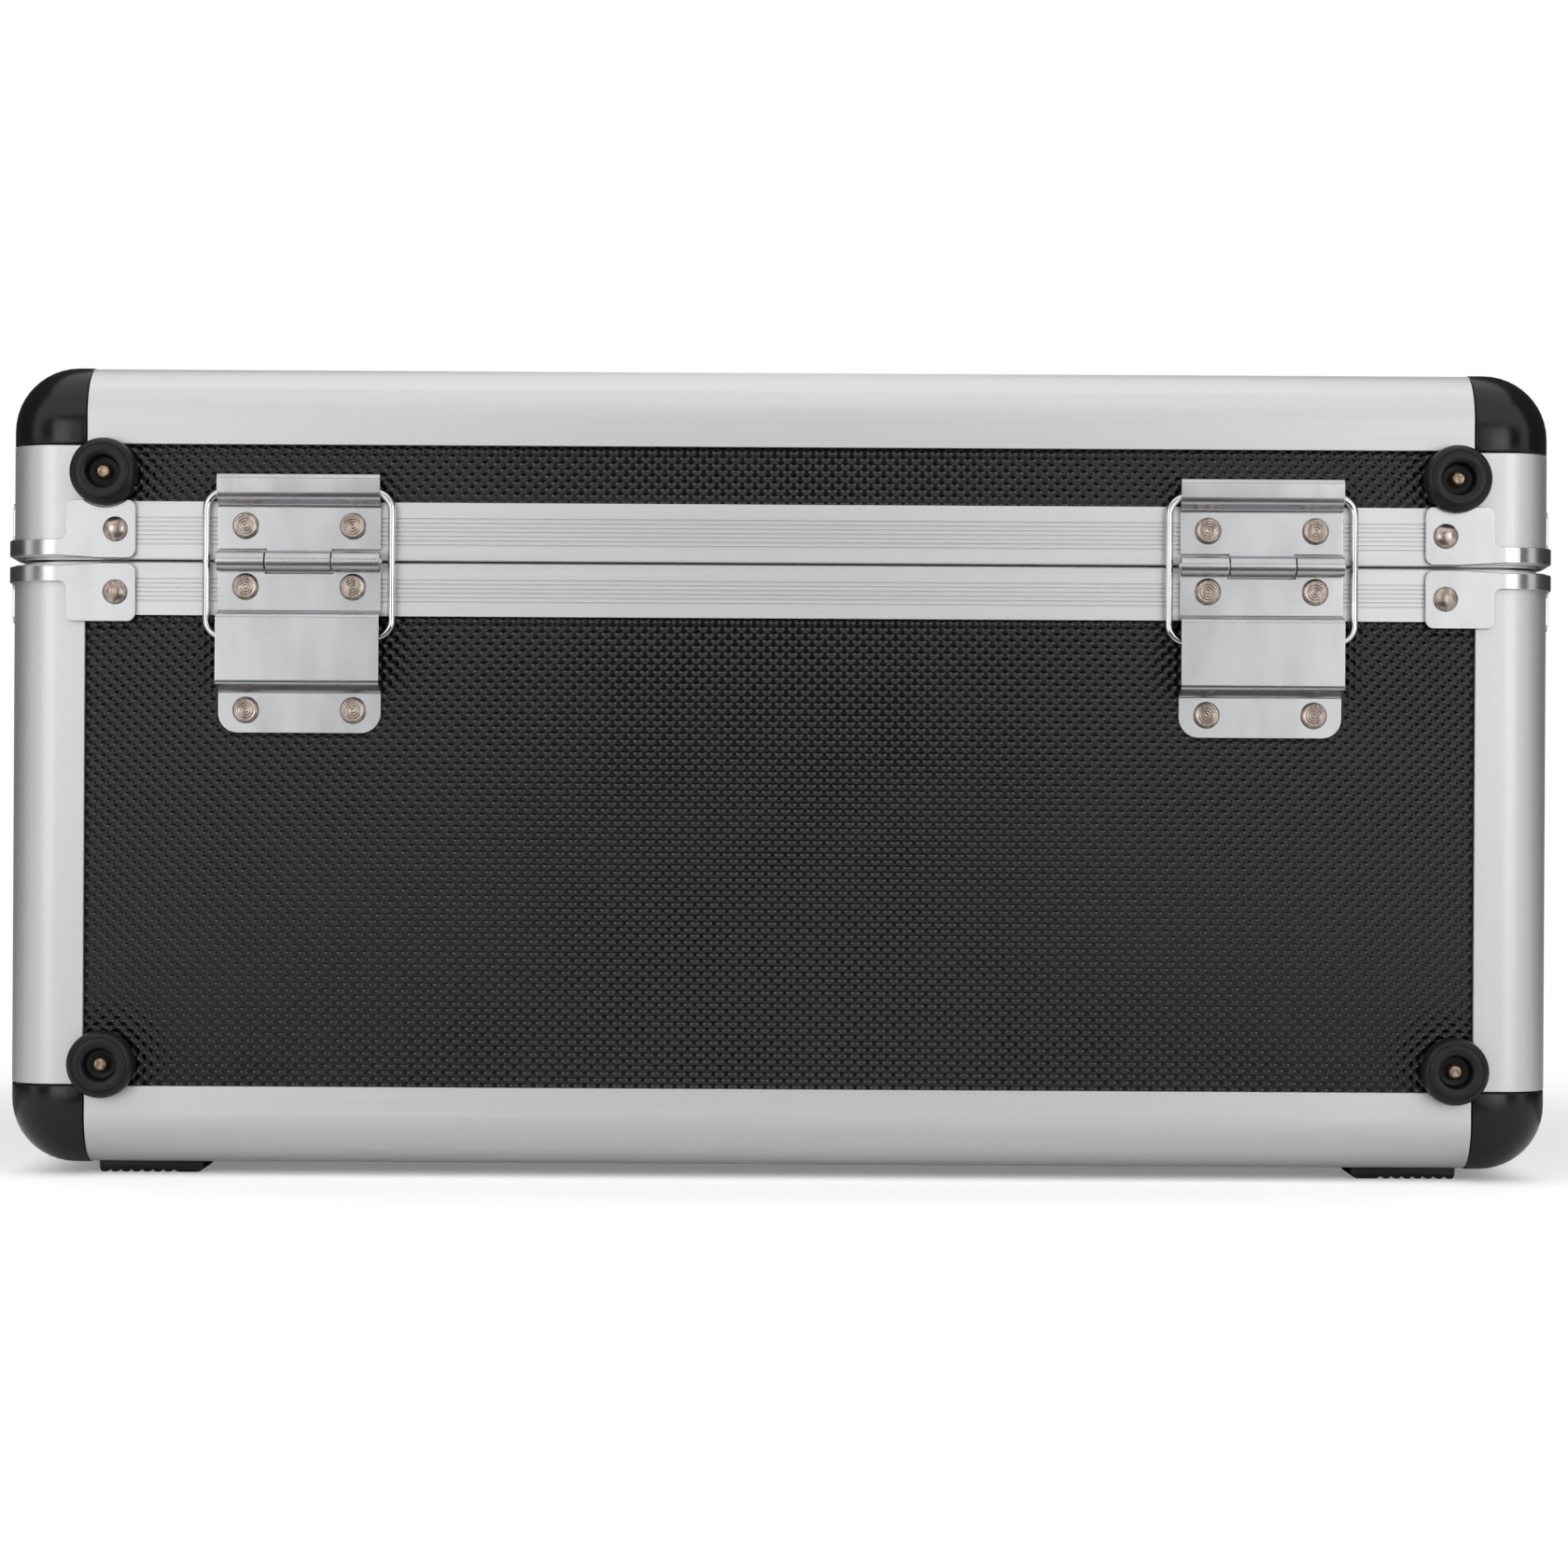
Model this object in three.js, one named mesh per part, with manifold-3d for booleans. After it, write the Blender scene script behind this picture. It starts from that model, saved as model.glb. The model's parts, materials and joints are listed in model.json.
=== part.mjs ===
// An aluminium-edged flight case with a hinged lid, lid stays, draw latches and a carrying handle.
// Millimetres, +Z up. The hinge side faces -Y and the latch side faces +Y. The floor is at z = 0.
import * as THREE from "three";
import { mergeVertices } from "three/addons/utils/BufferGeometryUtils.js";
import { RoundedBoxGeometry } from "three/addons/geometries/RoundedBoxGeometry.js";
import Module from "manifold-3d";

// Overall sizes
const caseLength = 390;
const caseDepth = 290;
const baseHeight = 152.2;
const lidHeight = 49.4;

// Clearances
const fit = 0.3;
const seat = 0.2;
const overrun = 5;

// Boards and lining
const boardThickness = 4;
const liningThickness = 2.5;
const liningFloor = 3;
const liningRadius = 10.5;

// Aluminium profiles
const profileLeg = 20;
const profileRadius = 13;
const skin = 1.5;
const baseRimHeight = 13.6;
const lidRimHeight = 15;
const rimInnerWall = 1.2;
const seamGap = 0.6;
const lipThickness = 1.2;
const lipHeight = 4;

// Plastic corner caps
const capRadius = 16;
const capProud = 0.5;
const capWall = 2;

// Steel corner clips at the seam
const sheet = 1;
const clipSetback = 0.65;
const clipBandHeight = 4.7;
const clipTabStart = 15.3;
const clipTabWidth = 17.5;
const clipTabHeight = 14.7;
const clipTabRadius = 2;
const clipRivetIn = 27.7;
const clipRivetUp = 7.9;

// Rivets
const rivetRadius = 3.3;
const rivetHeight = 1.6;
const rivetEdgeShare = 0.4;
const rivetCrownShare = 0.6;

// Rubber bumpers on the hinge side
const bumperRadius = 8.5;
const bumperHeight = 5.4;
const bumperHoleRadius = 4;
const bumperPastLeg = 5;
const baseBumperPastLeg = 5.6;
const lidBumperStripShare = 0.5;
const bumperBossRadius = 2.5;
const bumperShoulderShares = [0.96, 0.8];
const bumperRivetRadius = 2.6;
const bumperFloor = 2;

// Ribbed feet
const footHeight = 3;
const footLength = 26.5;
const footDepth = 20;
const footPastLeg = 2;
const footPastCurve = 1;
const footRibCount = 7;
const footRibPitch = 2.7;
const footRibDepth = 1;
const footRibFlatShare = 0.56;

// Hinges
const hingeIn = 74;
const leafWidth = 41;
const middleKnuckle = 16.4;
const knuckleRadius = 2.6;
const knuckleBore = 1.15;
const pinRadius = 1;
const pinProud = 0.6;
const knuckleRelief = 0.6;
const leafRivetSpacing = 27;
const upperRivetUp = 8.9;
const lowerRivetDown = 6.4;
const tabRivetDown = 37.4;
const leafTabRadius = 5;
const hookRoom = 2.6;
const channelTop = 12.9;
const channelBottom = 31.6;
const channelRoom = 5;
const leafTabBottom = 43.2;

// Stay rings
const wireRadius = 1;
const ringSideGap = 1.8;
const ringDrop = 36.4;
const ringRadius = 4.5;
const ringHookUp = 17.4;
const ringHookOut = 1.6;
const ringFootOut = 1.4;
const ringGap = 0.6;

// Draw latches
const latchIn = 60;
const latchPlateWidth = 42;
const latchPlateHeight = 32;
const latchPlateTop = 1.2;
const latchRivetIn = 4.2;
const latchRivetEdge = 5;
const latchRivetRadius = 3;
const keeperHeight = 12;
const keeperBottom = 1.6;
const keeperLedgeUp = 3.6;
const keeperLedgeReach = 4.6;
const leverPivotOut = 5;
const leverPivotDown = 6;
const clawPivotOut = 4.2;
const clawPivotDown = 13;
const latchPinRadius = 1.1;
const latchBore = 1.35;
const leverHalfWidth = 12.3;
const cheekThickness = 1.3;
const leverFront = 8.5;
const leverBottom = 38;
const leverSlotDown = 20;
const leverLipOut = 3;
const leverLipDrop = 4;
const cheekRadius = 3;
const flangeInner = 4;
const earLength = 8;
const clawWidth = 18;
const clawNoseUp = 6.6;
const clawNoseInner = 1.6;
const clawBarrelRadius = 1.8;

// Carrying handle
const handleDown = 34;
const handlePivotOut = 9;
const handleSpan = 110;
const handleArm = 7.3;
const handleDrop = 30;
const handleEyeRadius = 6.5;
const handlePinRadius = 2;
const handleBore = 2.3;
const gripHeight = 13;
const gripDepth = 15;
const bracketWidth = 24;
const bracketHeight = 34;
const bracketPlate = 1.2;
const bracketTop = 20;
const bracketLug = 3;
const bracketLugIn = 8;
const bracketLugHeight = 14;
const bracketRivetDown = 7;

// Smoothness of round pieces
const cornerSteps = 3;
const ballSteps = 2;
const rivetSides = 8;
const boreSides = 14;
const wireSides = 6;

// Levels and faces that follow from the sizes above
const caseBottom = footHeight;
const seam = caseBottom + baseHeight;
const caseTop = seam + lidHeight;
const boardOuter = skin + fit;
const boardInner = boardOuter + boardThickness;
const liningOuter = boardInner + fit;
const rimInner = liningOuter + rimInnerWall;
const lipOuter = rimInner + fit;
const boardFace = -boardOuter;
const bumperSeat = capProud + fit;
const bumperIn = profileLeg + bumperPastLeg;
const lidStrip = lidHeight - profileLeg - lidRimHeight;
const lidBumperUp = lidRimHeight + lidStrip * lidBumperStripShare;
const baseBumperUp = caseBottom + profileLeg + baseBumperPastLeg - seam;
const ringSpan = leafWidth + 2 * (ringSideGap + wireRadius);
const hookStart = ringHookUp - wireRadius - ringGap - sheet;
const hookTop = ringHookUp + wireRadius + hookRoom + sheet;
const backReach = bumperSeat + bumperHeight;
const frontReach = handlePivotOut + gripDepth / 2;
const centreShift = (backReach - frontReach) / 2;

const aluminium = { color: 0xc4c5c7, roughness: 0.42, metalness: 0.9 };
const board = { color: 0x1c1c1e, roughness: 0.5, metalness: 0 };
const plastic = { color: 0x161617, roughness: 0.25, metalness: 0 };
const rubber = { color: 0x141414, roughness: 0.7, metalness: 0 };
const steel = { color: 0xcfd1d3, roughness: 0.18, metalness: 1 };
const foam = { color: 0x2b2b2d, roughness: 0.95, metalness: 0 };

const wasm = await Module();
wasm.setup();

// Vertices nearer than this are one.
const weld = 1e-4;

// A closed geometry as a solid that can be joined and cut.
function solidOf(geometry) {
  const bare = geometry.index ? geometry.toNonIndexed() : geometry.clone();
  bare.deleteAttribute("normal");
  bare.deleteAttribute("uv");
  const merged = mergeVertices(bare, weld);
  return new wasm.Manifold(
    new wasm.Mesh({
      numProp: 3,
      vertProperties: merged.getAttribute("position").array,
      triVerts: new Uint32Array(merged.index.array),
    }),
  );
}

// A solid as a flat-shaded geometry.
function geometryOf(solid) {
  const mesh = solid.getMesh();
  const geometry = new THREE.BufferGeometry();
  geometry.setAttribute("position", new THREE.BufferAttribute(mesh.vertProperties, 3));
  geometry.setIndex(new THREE.BufferAttribute(mesh.triVerts, 1));
  const flat = geometry.toNonIndexed();
  flat.computeVertexNormals();
  return flat;
}

function join(...geometries) {
  return geometryOf(geometries.map(solidOf).reduce((whole, piece) => whole.add(piece)));
}

function cut(geometry, ...cutters) {
  return geometryOf(cutters.map(solidOf).reduce((rest, tool) => rest.subtract(tool), solidOf(geometry)));
}

function common(geometry, other) {
  return geometryOf(solidOf(geometry).intersect(solidOf(other)));
}

// Two numbers, the lower one first.
function ordered(a, b) {
  return [Math.min(a, b), Math.max(a, b)];
}

// A box between two corners.
function block(x0, x1, y0, y1, z0, z1) {
  const box = new THREE.BoxGeometry(x1 - x0, y1 - y0, z1 - z0);
  return box.translate((x0 + x1) / 2, (y0 + y1) / 2, (z0 + z1) / 2);
}

function polygon(points) {
  return new THREE.Shape(points.map(([x, y]) => new THREE.Vector2(x, y)));
}

function extrude(shape, depth) {
  return new THREE.ExtrudeGeometry(shape, { depth, bevelEnabled: false, curveSegments: cornerSteps });
}

// A rectangle in the plane, centred, with round corners.
function roundedRectangle(width, height, radius) {
  const x = width / 2;
  const y = height / 2;
  const shape = new THREE.Shape();
  shape.moveTo(x - radius, -y);
  shape.absarc(x - radius, radius - y, radius, -Math.PI / 2, 0);
  shape.absarc(x - radius, y - radius, radius, 0, Math.PI / 2);
  shape.absarc(radius - x, y - radius, radius, Math.PI / 2, Math.PI);
  shape.absarc(radius - x, radius - y, radius, Math.PI, 1.5 * Math.PI);
  return shape;
}

// The case's plan outline, moved inwards by an inset.
function outline(inset) {
  return roundedRectangle(caseLength - 2 * inset, caseDepth - 2 * inset, profileRadius - inset);
}

// A wall that follows the case's plan outline between two insets and two levels.
function wall(outer, inner, bottom, top) {
  const shape = outline(outer);
  shape.holes.push(outline(inner));
  return extrude(shape, top - bottom).translate(0, 0, bottom);
}

// A profile drawn in (outwards, upwards), run sideways along X and centred on it.
function runAlongX(shape, width) {
  const turn = new THREE.Matrix4().makeBasis(
    new THREE.Vector3(0, 1, 0),
    new THREE.Vector3(0, 0, 1),
    new THREE.Vector3(1, 0, 0),
  );
  return extrude(shape, width).translate(0, 0, -width / 2).applyMatrix4(turn);
}

// A rod along X between two places, at a height and a distance outwards.
function rodX(radius, x0, x1, out, up, sides) {
  return new THREE.CylinderGeometry(radius, radius, x1 - x0, sides)
    .rotateZ(-Math.PI / 2)
    .translate((x0 + x1) / 2, out, up);
}

// A plate against a face: width along X, height along Z, thickness outwards from a level.
function plate(width, height, thickness, radius, x, out, up) {
  const shape = roundedRectangle(width, height, radius);
  return extrude(shape, thickness).rotateX(Math.PI / 2).translate(x, out + thickness, up);
}

// A profile of [radius, height along Y] turned round the Y axis.
function lathe(profile, sides) {
  return new THREE.LatheGeometry(profile.map(([r, y]) => new THREE.Vector2(r, y)), sides);
}

// A domed rivet head, pointing outwards along +Y.
function rivet(x, out, up, radius = rivetRadius) {
  const profile = [
    [0, -sheet / 2],
    [radius, -sheet / 2],
    [radius, rivetHeight * rivetEdgeShare],
    [radius * rivetCrownShare, rivetHeight],
    [0, rivetHeight],
  ];
  return lathe(profile, rivetSides).translate(x, out, up);
}

const flightCase = new THREE.Group();
const shell = new THREE.Group();
shell.position.y = centreShift;
flightCase.add(shell);

function add(name, geometry, finish, place = shell) {
  const mesh = new THREE.Mesh(geometry, new THREE.MeshStandardMaterial(finish));
  mesh.name = name;
  place.add(mesh);
  return mesh;
}

// A group whose +Y points out of the hinge side or the latch side, at the height of the seam.
function faceGroup(side, x) {
  const group = new THREE.Group();
  group.position.set(x, side === "back" ? -caseDepth / 2 : caseDepth / 2, seam);
  group.rotation.z = side === "back" ? Math.PI : 0;
  shell.add(group);
  return group;
}

// The four plan corners, with the directions that point away from the middle.
const corners = [
  { name: "back_left", x: -1, y: -1 },
  { name: "back_right", x: 1, y: -1 },
  { name: "front_left", x: -1, y: 1 },
  { name: "front_right", x: 1, y: 1 },
];

// A group whose +X, +Y and +Z lead inwards from an outer corner of the case.
function cornerGroup(corner, level, up) {
  const group = new THREE.Group();
  group.position.set((corner.x * caseLength) / 2, (corner.y * caseDepth) / 2, level);
  group.scale.set(-corner.x, -corner.y, up);
  shell.add(group);
  return group;
}

// Boxes that take the side faces' windows out of a frame, leaving its corner posts.
function windows(bottom, top) {
  const x = caseLength / 2;
  const y = caseDepth / 2;
  return [
    block(profileLeg - x, x - profileLeg, -y - overrun, y + overrun, bottom, top),
    block(-x - overrun, x + overrun, profileLeg - y, y - profileLeg, bottom, top),
  ];
}

// The posts and the rim of one half: a skin with four windows, and a channel that holds the boards.
function frame(postEnd, rimSeam, rimEdge) {
  const [postLow, postHigh] = ordered(postEnd, rimSeam);
  const [rimLow, rimHigh] = ordered(rimEdge, rimSeam);
  const [openLow, openHigh] = ordered(postEnd, rimEdge);
  const beyond = postEnd < rimEdge ? [openLow - overrun, openHigh] : [openLow, openHigh + overrun];
  const inward = Math.sign(rimEdge - rimSeam);
  const [flangeLow, flangeHigh] = ordered(rimSeam, rimSeam + inward * skin);
  const skinWall = cut(wall(0, skin, postLow, postHigh), ...windows(...beyond));
  const flange = wall(0, rimInner, flangeLow, flangeHigh);
  const inner = wall(liningOuter, rimInner, rimLow, rimHigh);
  return join(skinWall, flange, inner);
}

function baseFrame() {
  const top = seam - seamGap / 2;
  const body = frame(caseBottom + profileLeg + fit, top, seam - baseRimHeight);
  const lip = wall(lipOuter, lipOuter + lipThickness, top - skin, seam + lipHeight);
  const bridge = wall(liningOuter, lipOuter + lipThickness, top - skin, top);
  return join(body, bridge, lip);
}

function lidFrame() {
  return frame(caseTop - profileLeg - fit, seam + seamGap / 2, seam + lidRimHeight);
}

// Boxes over the four plan corners, between two levels, where the caps stand.
function capRooms(bottom, top) {
  const reach = profileLeg + fit;
  return corners.map(({ x, y }) => {
    const outerX = (x * caseLength) / 2;
    const outerY = (y * caseDepth) / 2;
    const [x0, x1] = ordered(outerX + x * overrun, outerX - x * reach);
    const [y0, y1] = ordered(outerY + y * overrun, outerY - y * reach);
    return block(x0, x1, y0, y1, bottom, top);
  });
}

// The side boards of one half, from the edge profile to the rim's flange.
function sideBand(edgeLevel, rimLevel) {
  const [bottom, top] = ordered(edgeLevel, rimLevel);
  const inward = Math.sign(rimLevel - edgeLevel);
  const roomEnd = edgeLevel + inward * (profileLeg + fit - profileRadius);
  const room = ordered(edgeLevel - inward * overrun, roomEnd);
  return cut(wall(boardOuter, boardInner, bottom, top), ...capRooms(...room));
}

// A floor or top board, with its corners cut away for the caps.
function panel(bottom) {
  const x = caseLength / 2 - profileRadius;
  const y = caseDepth / 2 - profileRadius;
  const top = bottom + boardThickness;
  return cut(block(-x, x, -y, y, bottom, top), ...capRooms(bottom - overrun, top + overrun));
}

function liningOutline(inset, radius) {
  return roundedRectangle(caseLength - 2 * inset, caseDepth - 2 * inset, radius);
}

// A lining tray: a floor on the board, and walls up to the rim's inner wall.
function lining(boardLevel, rimLevel) {
  const inward = Math.sign(rimLevel - boardLevel);
  const floor = ordered(boardLevel, boardLevel + inward * liningFloor);
  const walls = ordered(boardLevel, rimLevel);
  const outer = liningOutline(liningOuter, liningRadius);
  const ring = liningOutline(liningOuter, liningRadius);
  ring.holes.push(liningOutline(liningOuter + liningThickness, liningRadius - liningThickness));
  const floorPiece = extrude(outer, floor[1] - floor[0]).translate(0, 0, floor[0]);
  const wallPiece = extrude(ring, walls[1] - walls[0]).translate(0, 0, walls[0]);
  return join(floorPiece, wallPiece);
}

// An edge profile along X: +Y leads inwards from the side face, and +Z from the top or bottom face.
function edgeProfile(length) {
  const inner = profileRadius - skin;
  const shape = new THREE.Shape();
  shape.moveTo(profileLeg, 0);
  shape.lineTo(profileLeg, skin);
  shape.lineTo(profileRadius, skin);
  shape.absarc(profileRadius, profileRadius, inner, -Math.PI / 2, -Math.PI, true);
  shape.lineTo(skin, profileLeg);
  shape.lineTo(0, profileLeg);
  shape.lineTo(0, profileRadius);
  shape.absarc(profileRadius, profileRadius, profileRadius, Math.PI, 1.5 * Math.PI);
  return runAlongX(shape, length);
}

function addEdges(prefix, level, up) {
  const long = edgeProfile(caseLength - 2 * (profileLeg + fit));
  const short = edgeProfile(caseDepth - 2 * (profileLeg + fit));
  const places = [
    { side: "back", geometry: long, x: 0, y: -caseDepth / 2, turn: 0 },
    { side: "front", geometry: long, x: 0, y: caseDepth / 2, turn: Math.PI },
    { side: "left", geometry: short, x: -caseLength / 2, y: 0, turn: -Math.PI / 2 },
    { side: "right", geometry: short, x: caseLength / 2, y: 0, turn: Math.PI / 2 },
  ];
  for (const { side, geometry, x, y, turn } of places) {
    const mesh = add(`${prefix}_edge_${side}`, geometry, aluminium);
    mesh.position.set(x, y, level);
    mesh.rotation.z = turn;
    mesh.scale.z = up;
  }
}

// A corner cap: a shell with a ball corner, a little proud of the profiles that meet at it.
function cornerCap() {
  const outer = capRadius + capProud;
  const size = 2 * (profileLeg + outer);
  const centre = size / 2 - capProud;
  const ball = new RoundedBoxGeometry(size, size, size, ballSteps, outer);
  ball.translate(centre, centre, centre);
  const hollow = size - 2 * capWall;
  const inside = new RoundedBoxGeometry(hollow, hollow, hollow, ballSteps, outer - capWall);
  inside.translate(centre, centre, centre);
  const low = -capProud - overrun;
  const cube = block(low, profileLeg, low, profileLeg, low, profileLeg);
  return cut(common(ball, cube), inside);
}

function addCaps(prefix, level, up) {
  const geometry = cornerCap();
  for (const corner of corners) {
    add(`${prefix}_cap_${corner.name}`, geometry, plastic, cornerGroup(corner, level, up));
  }
}

// The round-cornered band of a clip, in plan, between two distances outside the case.
function clipBand() {
  const outer = seat + sheet;
  const end = clipTabStart + clipTabRadius;
  const shape = new THREE.Shape();
  shape.moveTo(end, -outer);
  shape.lineTo(end, -seat);
  shape.lineTo(profileRadius, -seat);
  shape.absarc(profileRadius, profileRadius, profileRadius + seat, -Math.PI / 2, -Math.PI, true);
  shape.lineTo(-seat, end);
  shape.lineTo(-outer, end);
  shape.lineTo(-outer, profileRadius);
  shape.absarc(profileRadius, profileRadius, profileRadius + outer, Math.PI, 1.5 * Math.PI);
  return extrude(shape, clipBandHeight).translate(0, 0, clipSetback);
}

// A clip's tab and rivet on the face that X runs along.
function clipTab() {
  const middle = clipTabStart + clipTabWidth / 2;
  const up = clipSetback + clipTabHeight / 2;
  const tab = plate(clipTabWidth, clipTabHeight, sheet, clipTabRadius, middle, seat, up);
  return join(tab, rivet(clipRivetIn, seat + sheet, clipRivetUp)).scale(1, -1, 1);
}

// Turns the faces of a mirrored geometry round, so that they point outwards again.
function faceOut(geometry) {
  const turned = geometry.index ? geometry.toNonIndexed() : geometry;
  const { array } = turned.getAttribute("position");
  for (let i = 0; i < array.length; i += 9) {
    for (let k = 0; k < 3; k += 1) {
      [array[i + k], array[i + 3 + k]] = [array[i + 3 + k], array[i + k]];
    }
  }
  return turned;
}

function cornerClip(notched) {
  const tab = faceOut(clipTab());
  const swap = new THREE.Matrix4().set(0, 1, 0, 0, 1, 0, 0, 0, 0, 0, 1, 0, 0, 0, 0, 1);
  const otherTab = faceOut(tab.clone().applyMatrix4(swap));
  const clip = join(clipBand(), tab, otherTab);
  if (!notched) {
    return clip;
  }
  const radius = bumperRadius + fit;
  const notch = new THREE.CylinderGeometry(radius, radius, 2 * overrun, 2 * boreSides);
  return cut(clip, notch.translate(bumperIn, 0, lidBumperUp));
}

function addClips(prefix, up, hasBumpers) {
  for (const corner of corners) {
    const geometry = cornerClip(hasBumpers && corner.y < 0);
    add(`${prefix}_clip_${corner.name}`, geometry, steel, cornerGroup(corner, seam, up));
  }
}

// A rubber bumper, riveted through its middle, with a boss that reaches the board.
function bumper() {
  const [shoulderShare, crownShare] = bumperShoulderShares;
  const crown = bumperRadius * crownShare;
  const profile = [
    [0, boardFace + seat],
    [bumperBossRadius, boardFace + seat],
    [bumperBossRadius, bumperSeat],
    [bumperRadius, bumperSeat],
    [bumperRadius * shoulderShare, bumperSeat + bumperHeight * crownShare],
    [crown, bumperSeat + bumperHeight],
    [bumperHoleRadius, bumperSeat + bumperHeight],
    [bumperHoleRadius, bumperSeat + bumperFloor],
    [bumperRivetRadius, bumperSeat + bumperFloor],
    [0, bumperSeat + bumperFloor + rivetHeight],
  ];
  return lathe(profile, boreSides);
}

function addBumpers(prefix, up) {
  for (const side of [-1, 1]) {
    const x = side * (caseLength / 2 - bumperIn);
    const name = `${prefix}_bumper_${side < 0 ? "left" : "right"}`;
    add(name, bumper(), rubber, faceGroup("back", x)).position.z = up;
  }
}

// A foot: a pad with ribs across its length and a plain, rounded inner end.
function foot() {
  const bottomFlat = footRibPitch * footRibFlatShare;
  const shape = new THREE.Shape();
  shape.moveTo(0, 0);
  for (let i = 0; i < footRibCount; i += 1) {
    const start = i * footRibPitch;
    const valley = (start + bottomFlat + start + footRibPitch) / 2;
    shape.lineTo(start + bottomFlat, 0);
    shape.lineTo(valley, footRibDepth);
    shape.lineTo(start + footRibPitch, 0);
  }
  const round = footHeight - footRibDepth;
  shape.lineTo(footLength - round, 0);
  shape.absarc(footLength - round, round, round, -Math.PI / 2, 0);
  shape.lineTo(footLength, footHeight - seat);
  shape.lineTo(0, footHeight - seat);
  return extrude(shape, footDepth).rotateX(Math.PI / 2).translate(0, footDepth, 0);
}

function addFeet() {
  const geometry = foot();
  for (const corner of corners) {
    const mesh = add(`foot_${corner.name}`, geometry, rubber, cornerGroup(corner, 0, 1));
    mesh.position.set(profileLeg + footPastLeg, profileRadius + footPastCurve, 0);
  }
}

// The upper leaf of a hinge: a flat, a hook round the stay ring, and the middle knuckle.
function upperLeaf() {
  const hookInner = ringHookOut + wireRadius + ringGap;
  const hookOuter = hookInner + sheet;
  const clear = knuckleRadius + knuckleRelief;
  const profile = polygon([
    [seat, clear],
    [seat + sheet, clear],
    [seat + sheet, hookStart],
    [hookOuter, hookStart],
    [hookOuter, hookTop],
    [seat, hookTop],
    [seat, hookTop - sheet],
    [hookInner, hookTop - sheet],
    [hookInner, hookStart + sheet],
    [seat, hookStart + sheet],
  ]);
  const neck = block(-middleKnuckle / 2, middleKnuckle / 2, seat, seat + sheet, 0, clear + sheet);
  const out = seat + knuckleRadius;
  const barrel = rodX(knuckleRadius, -middleKnuckle / 2, middleKnuckle / 2, out, 0, boreSides);
  const bore = rodX(knuckleBore, -leafWidth, leafWidth, out, 0, boreSides);
  const rivets = [-1, 1].map((side) => rivet((side * leafRivetSpacing) / 2, seat + sheet, upperRivetUp));
  return cut(join(runAlongX(profile, leafWidth), neck, barrel, ...rivets), bore);
}

// The lower leaf: two outer knuckles, a flat, a raised channel for the ring, and a tab on the board.
function lowerLeaf() {
  const clear = knuckleRadius + knuckleRelief;
  const tabInner = boardFace + seat;
  const profile = polygon([
    [seat, -clear],
    [seat, -channelTop - sheet],
    [channelRoom, -channelTop - sheet],
    [channelRoom, sheet - channelBottom],
    [tabInner, sheet - channelBottom],
    [tabInner, -leafTabBottom],
    [tabInner + sheet, -leafTabBottom],
    [tabInner + sheet, -channelBottom],
    [channelRoom + sheet, -channelBottom],
    [channelRoom + sheet, -channelTop],
    [seat + sheet, -channelTop],
    [seat + sheet, -clear],
  ]);
  const leaf = runAlongX(profile, leafWidth);
  const depth = 2 * (channelRoom + sheet);
  const round = plate(leafWidth, 2 * leafTabBottom, 2 * depth, leafTabRadius, 0, -depth, 0);
  const out = seat + knuckleRadius;
  const inner = middleKnuckle / 2 + fit;
  const knuckles = [-1, 1].flatMap((side) => {
    const [x0, x1] = ordered(side * inner, (side * leafWidth) / 2);
    const neck = block(x0, x1, seat, seat + sheet, -clear - sheet, 0);
    return [rodX(knuckleRadius, x0, x1, out, 0, boreSides), neck];
  });
  const bore = rodX(knuckleBore, -leafWidth, leafWidth, out, 0, boreSides);
  const rivets = [-1, 1].flatMap((side) => {
    const x = (side * leafRivetSpacing) / 2;
    return [rivet(x, seat + sheet, -lowerRivetDown), rivet(x, tabInner + sheet, -tabRivetDown)];
  });
  return cut(join(common(leaf, round), ...knuckles, ...rivets), bore);
}

function hingePin() {
  const half = leafWidth / 2 + pinProud;
  return rodX(pinRadius, -half, half, seat + knuckleRadius, 0, wireSides * 2);
}

// A closed wire ring: a round-cornered rectangle that hangs from the hook into the channel.
function stayRing() {
  const across = ringSpan / 2 - ringRadius;
  const down = ringDrop / 2 - ringRadius;
  const lean = Math.atan2(ringHookOut - ringFootOut, ringDrop);
  const centres = [[across, down, 0], [-across, down, 1], [-across, -down, 2], [across, -down, 3]];
  const path = centres.flatMap(([x, z, quarter]) =>
    Array.from({ length: cornerSteps + 1 }, (_, i) => {
      const angle = (quarter + i / cornerSteps) * (Math.PI / 2);
      return { x: x + ringRadius * Math.cos(angle), z: z + ringRadius * Math.sin(angle), angle };
    }),
  );
  const positions = path.flatMap(({ x, z, angle }) =>
    Array.from({ length: wireSides }, (_, k) => {
      const turn = (k / wireSides) * 2 * Math.PI;
      const reach = wireRadius * Math.cos(turn);
      return [x + reach * Math.cos(angle), wireRadius * Math.sin(turn), z + reach * Math.sin(angle)];
    }).flat(),
  );
  const indices = path.flatMap((_, i) =>
    Array.from({ length: wireSides }, (__, k) => {
      const next = ((i + 1) % path.length) * wireSides;
      const here = i * wireSides;
      const after = (k + 1) % wireSides;
      return [here + k, here + after, next + k, here + after, next + after, next + k];
    }).flat(),
  );
  const ring = new THREE.BufferGeometry();
  ring.setAttribute("position", new THREE.Float32BufferAttribute(positions, 3));
  ring.setIndex(indices);
  ring.computeVertexNormals();
  return ring
    .translate(0, 0, -ringDrop / 2)
    .rotateX(lean)
    .translate(0, ringHookOut, ringHookUp);
}

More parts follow.
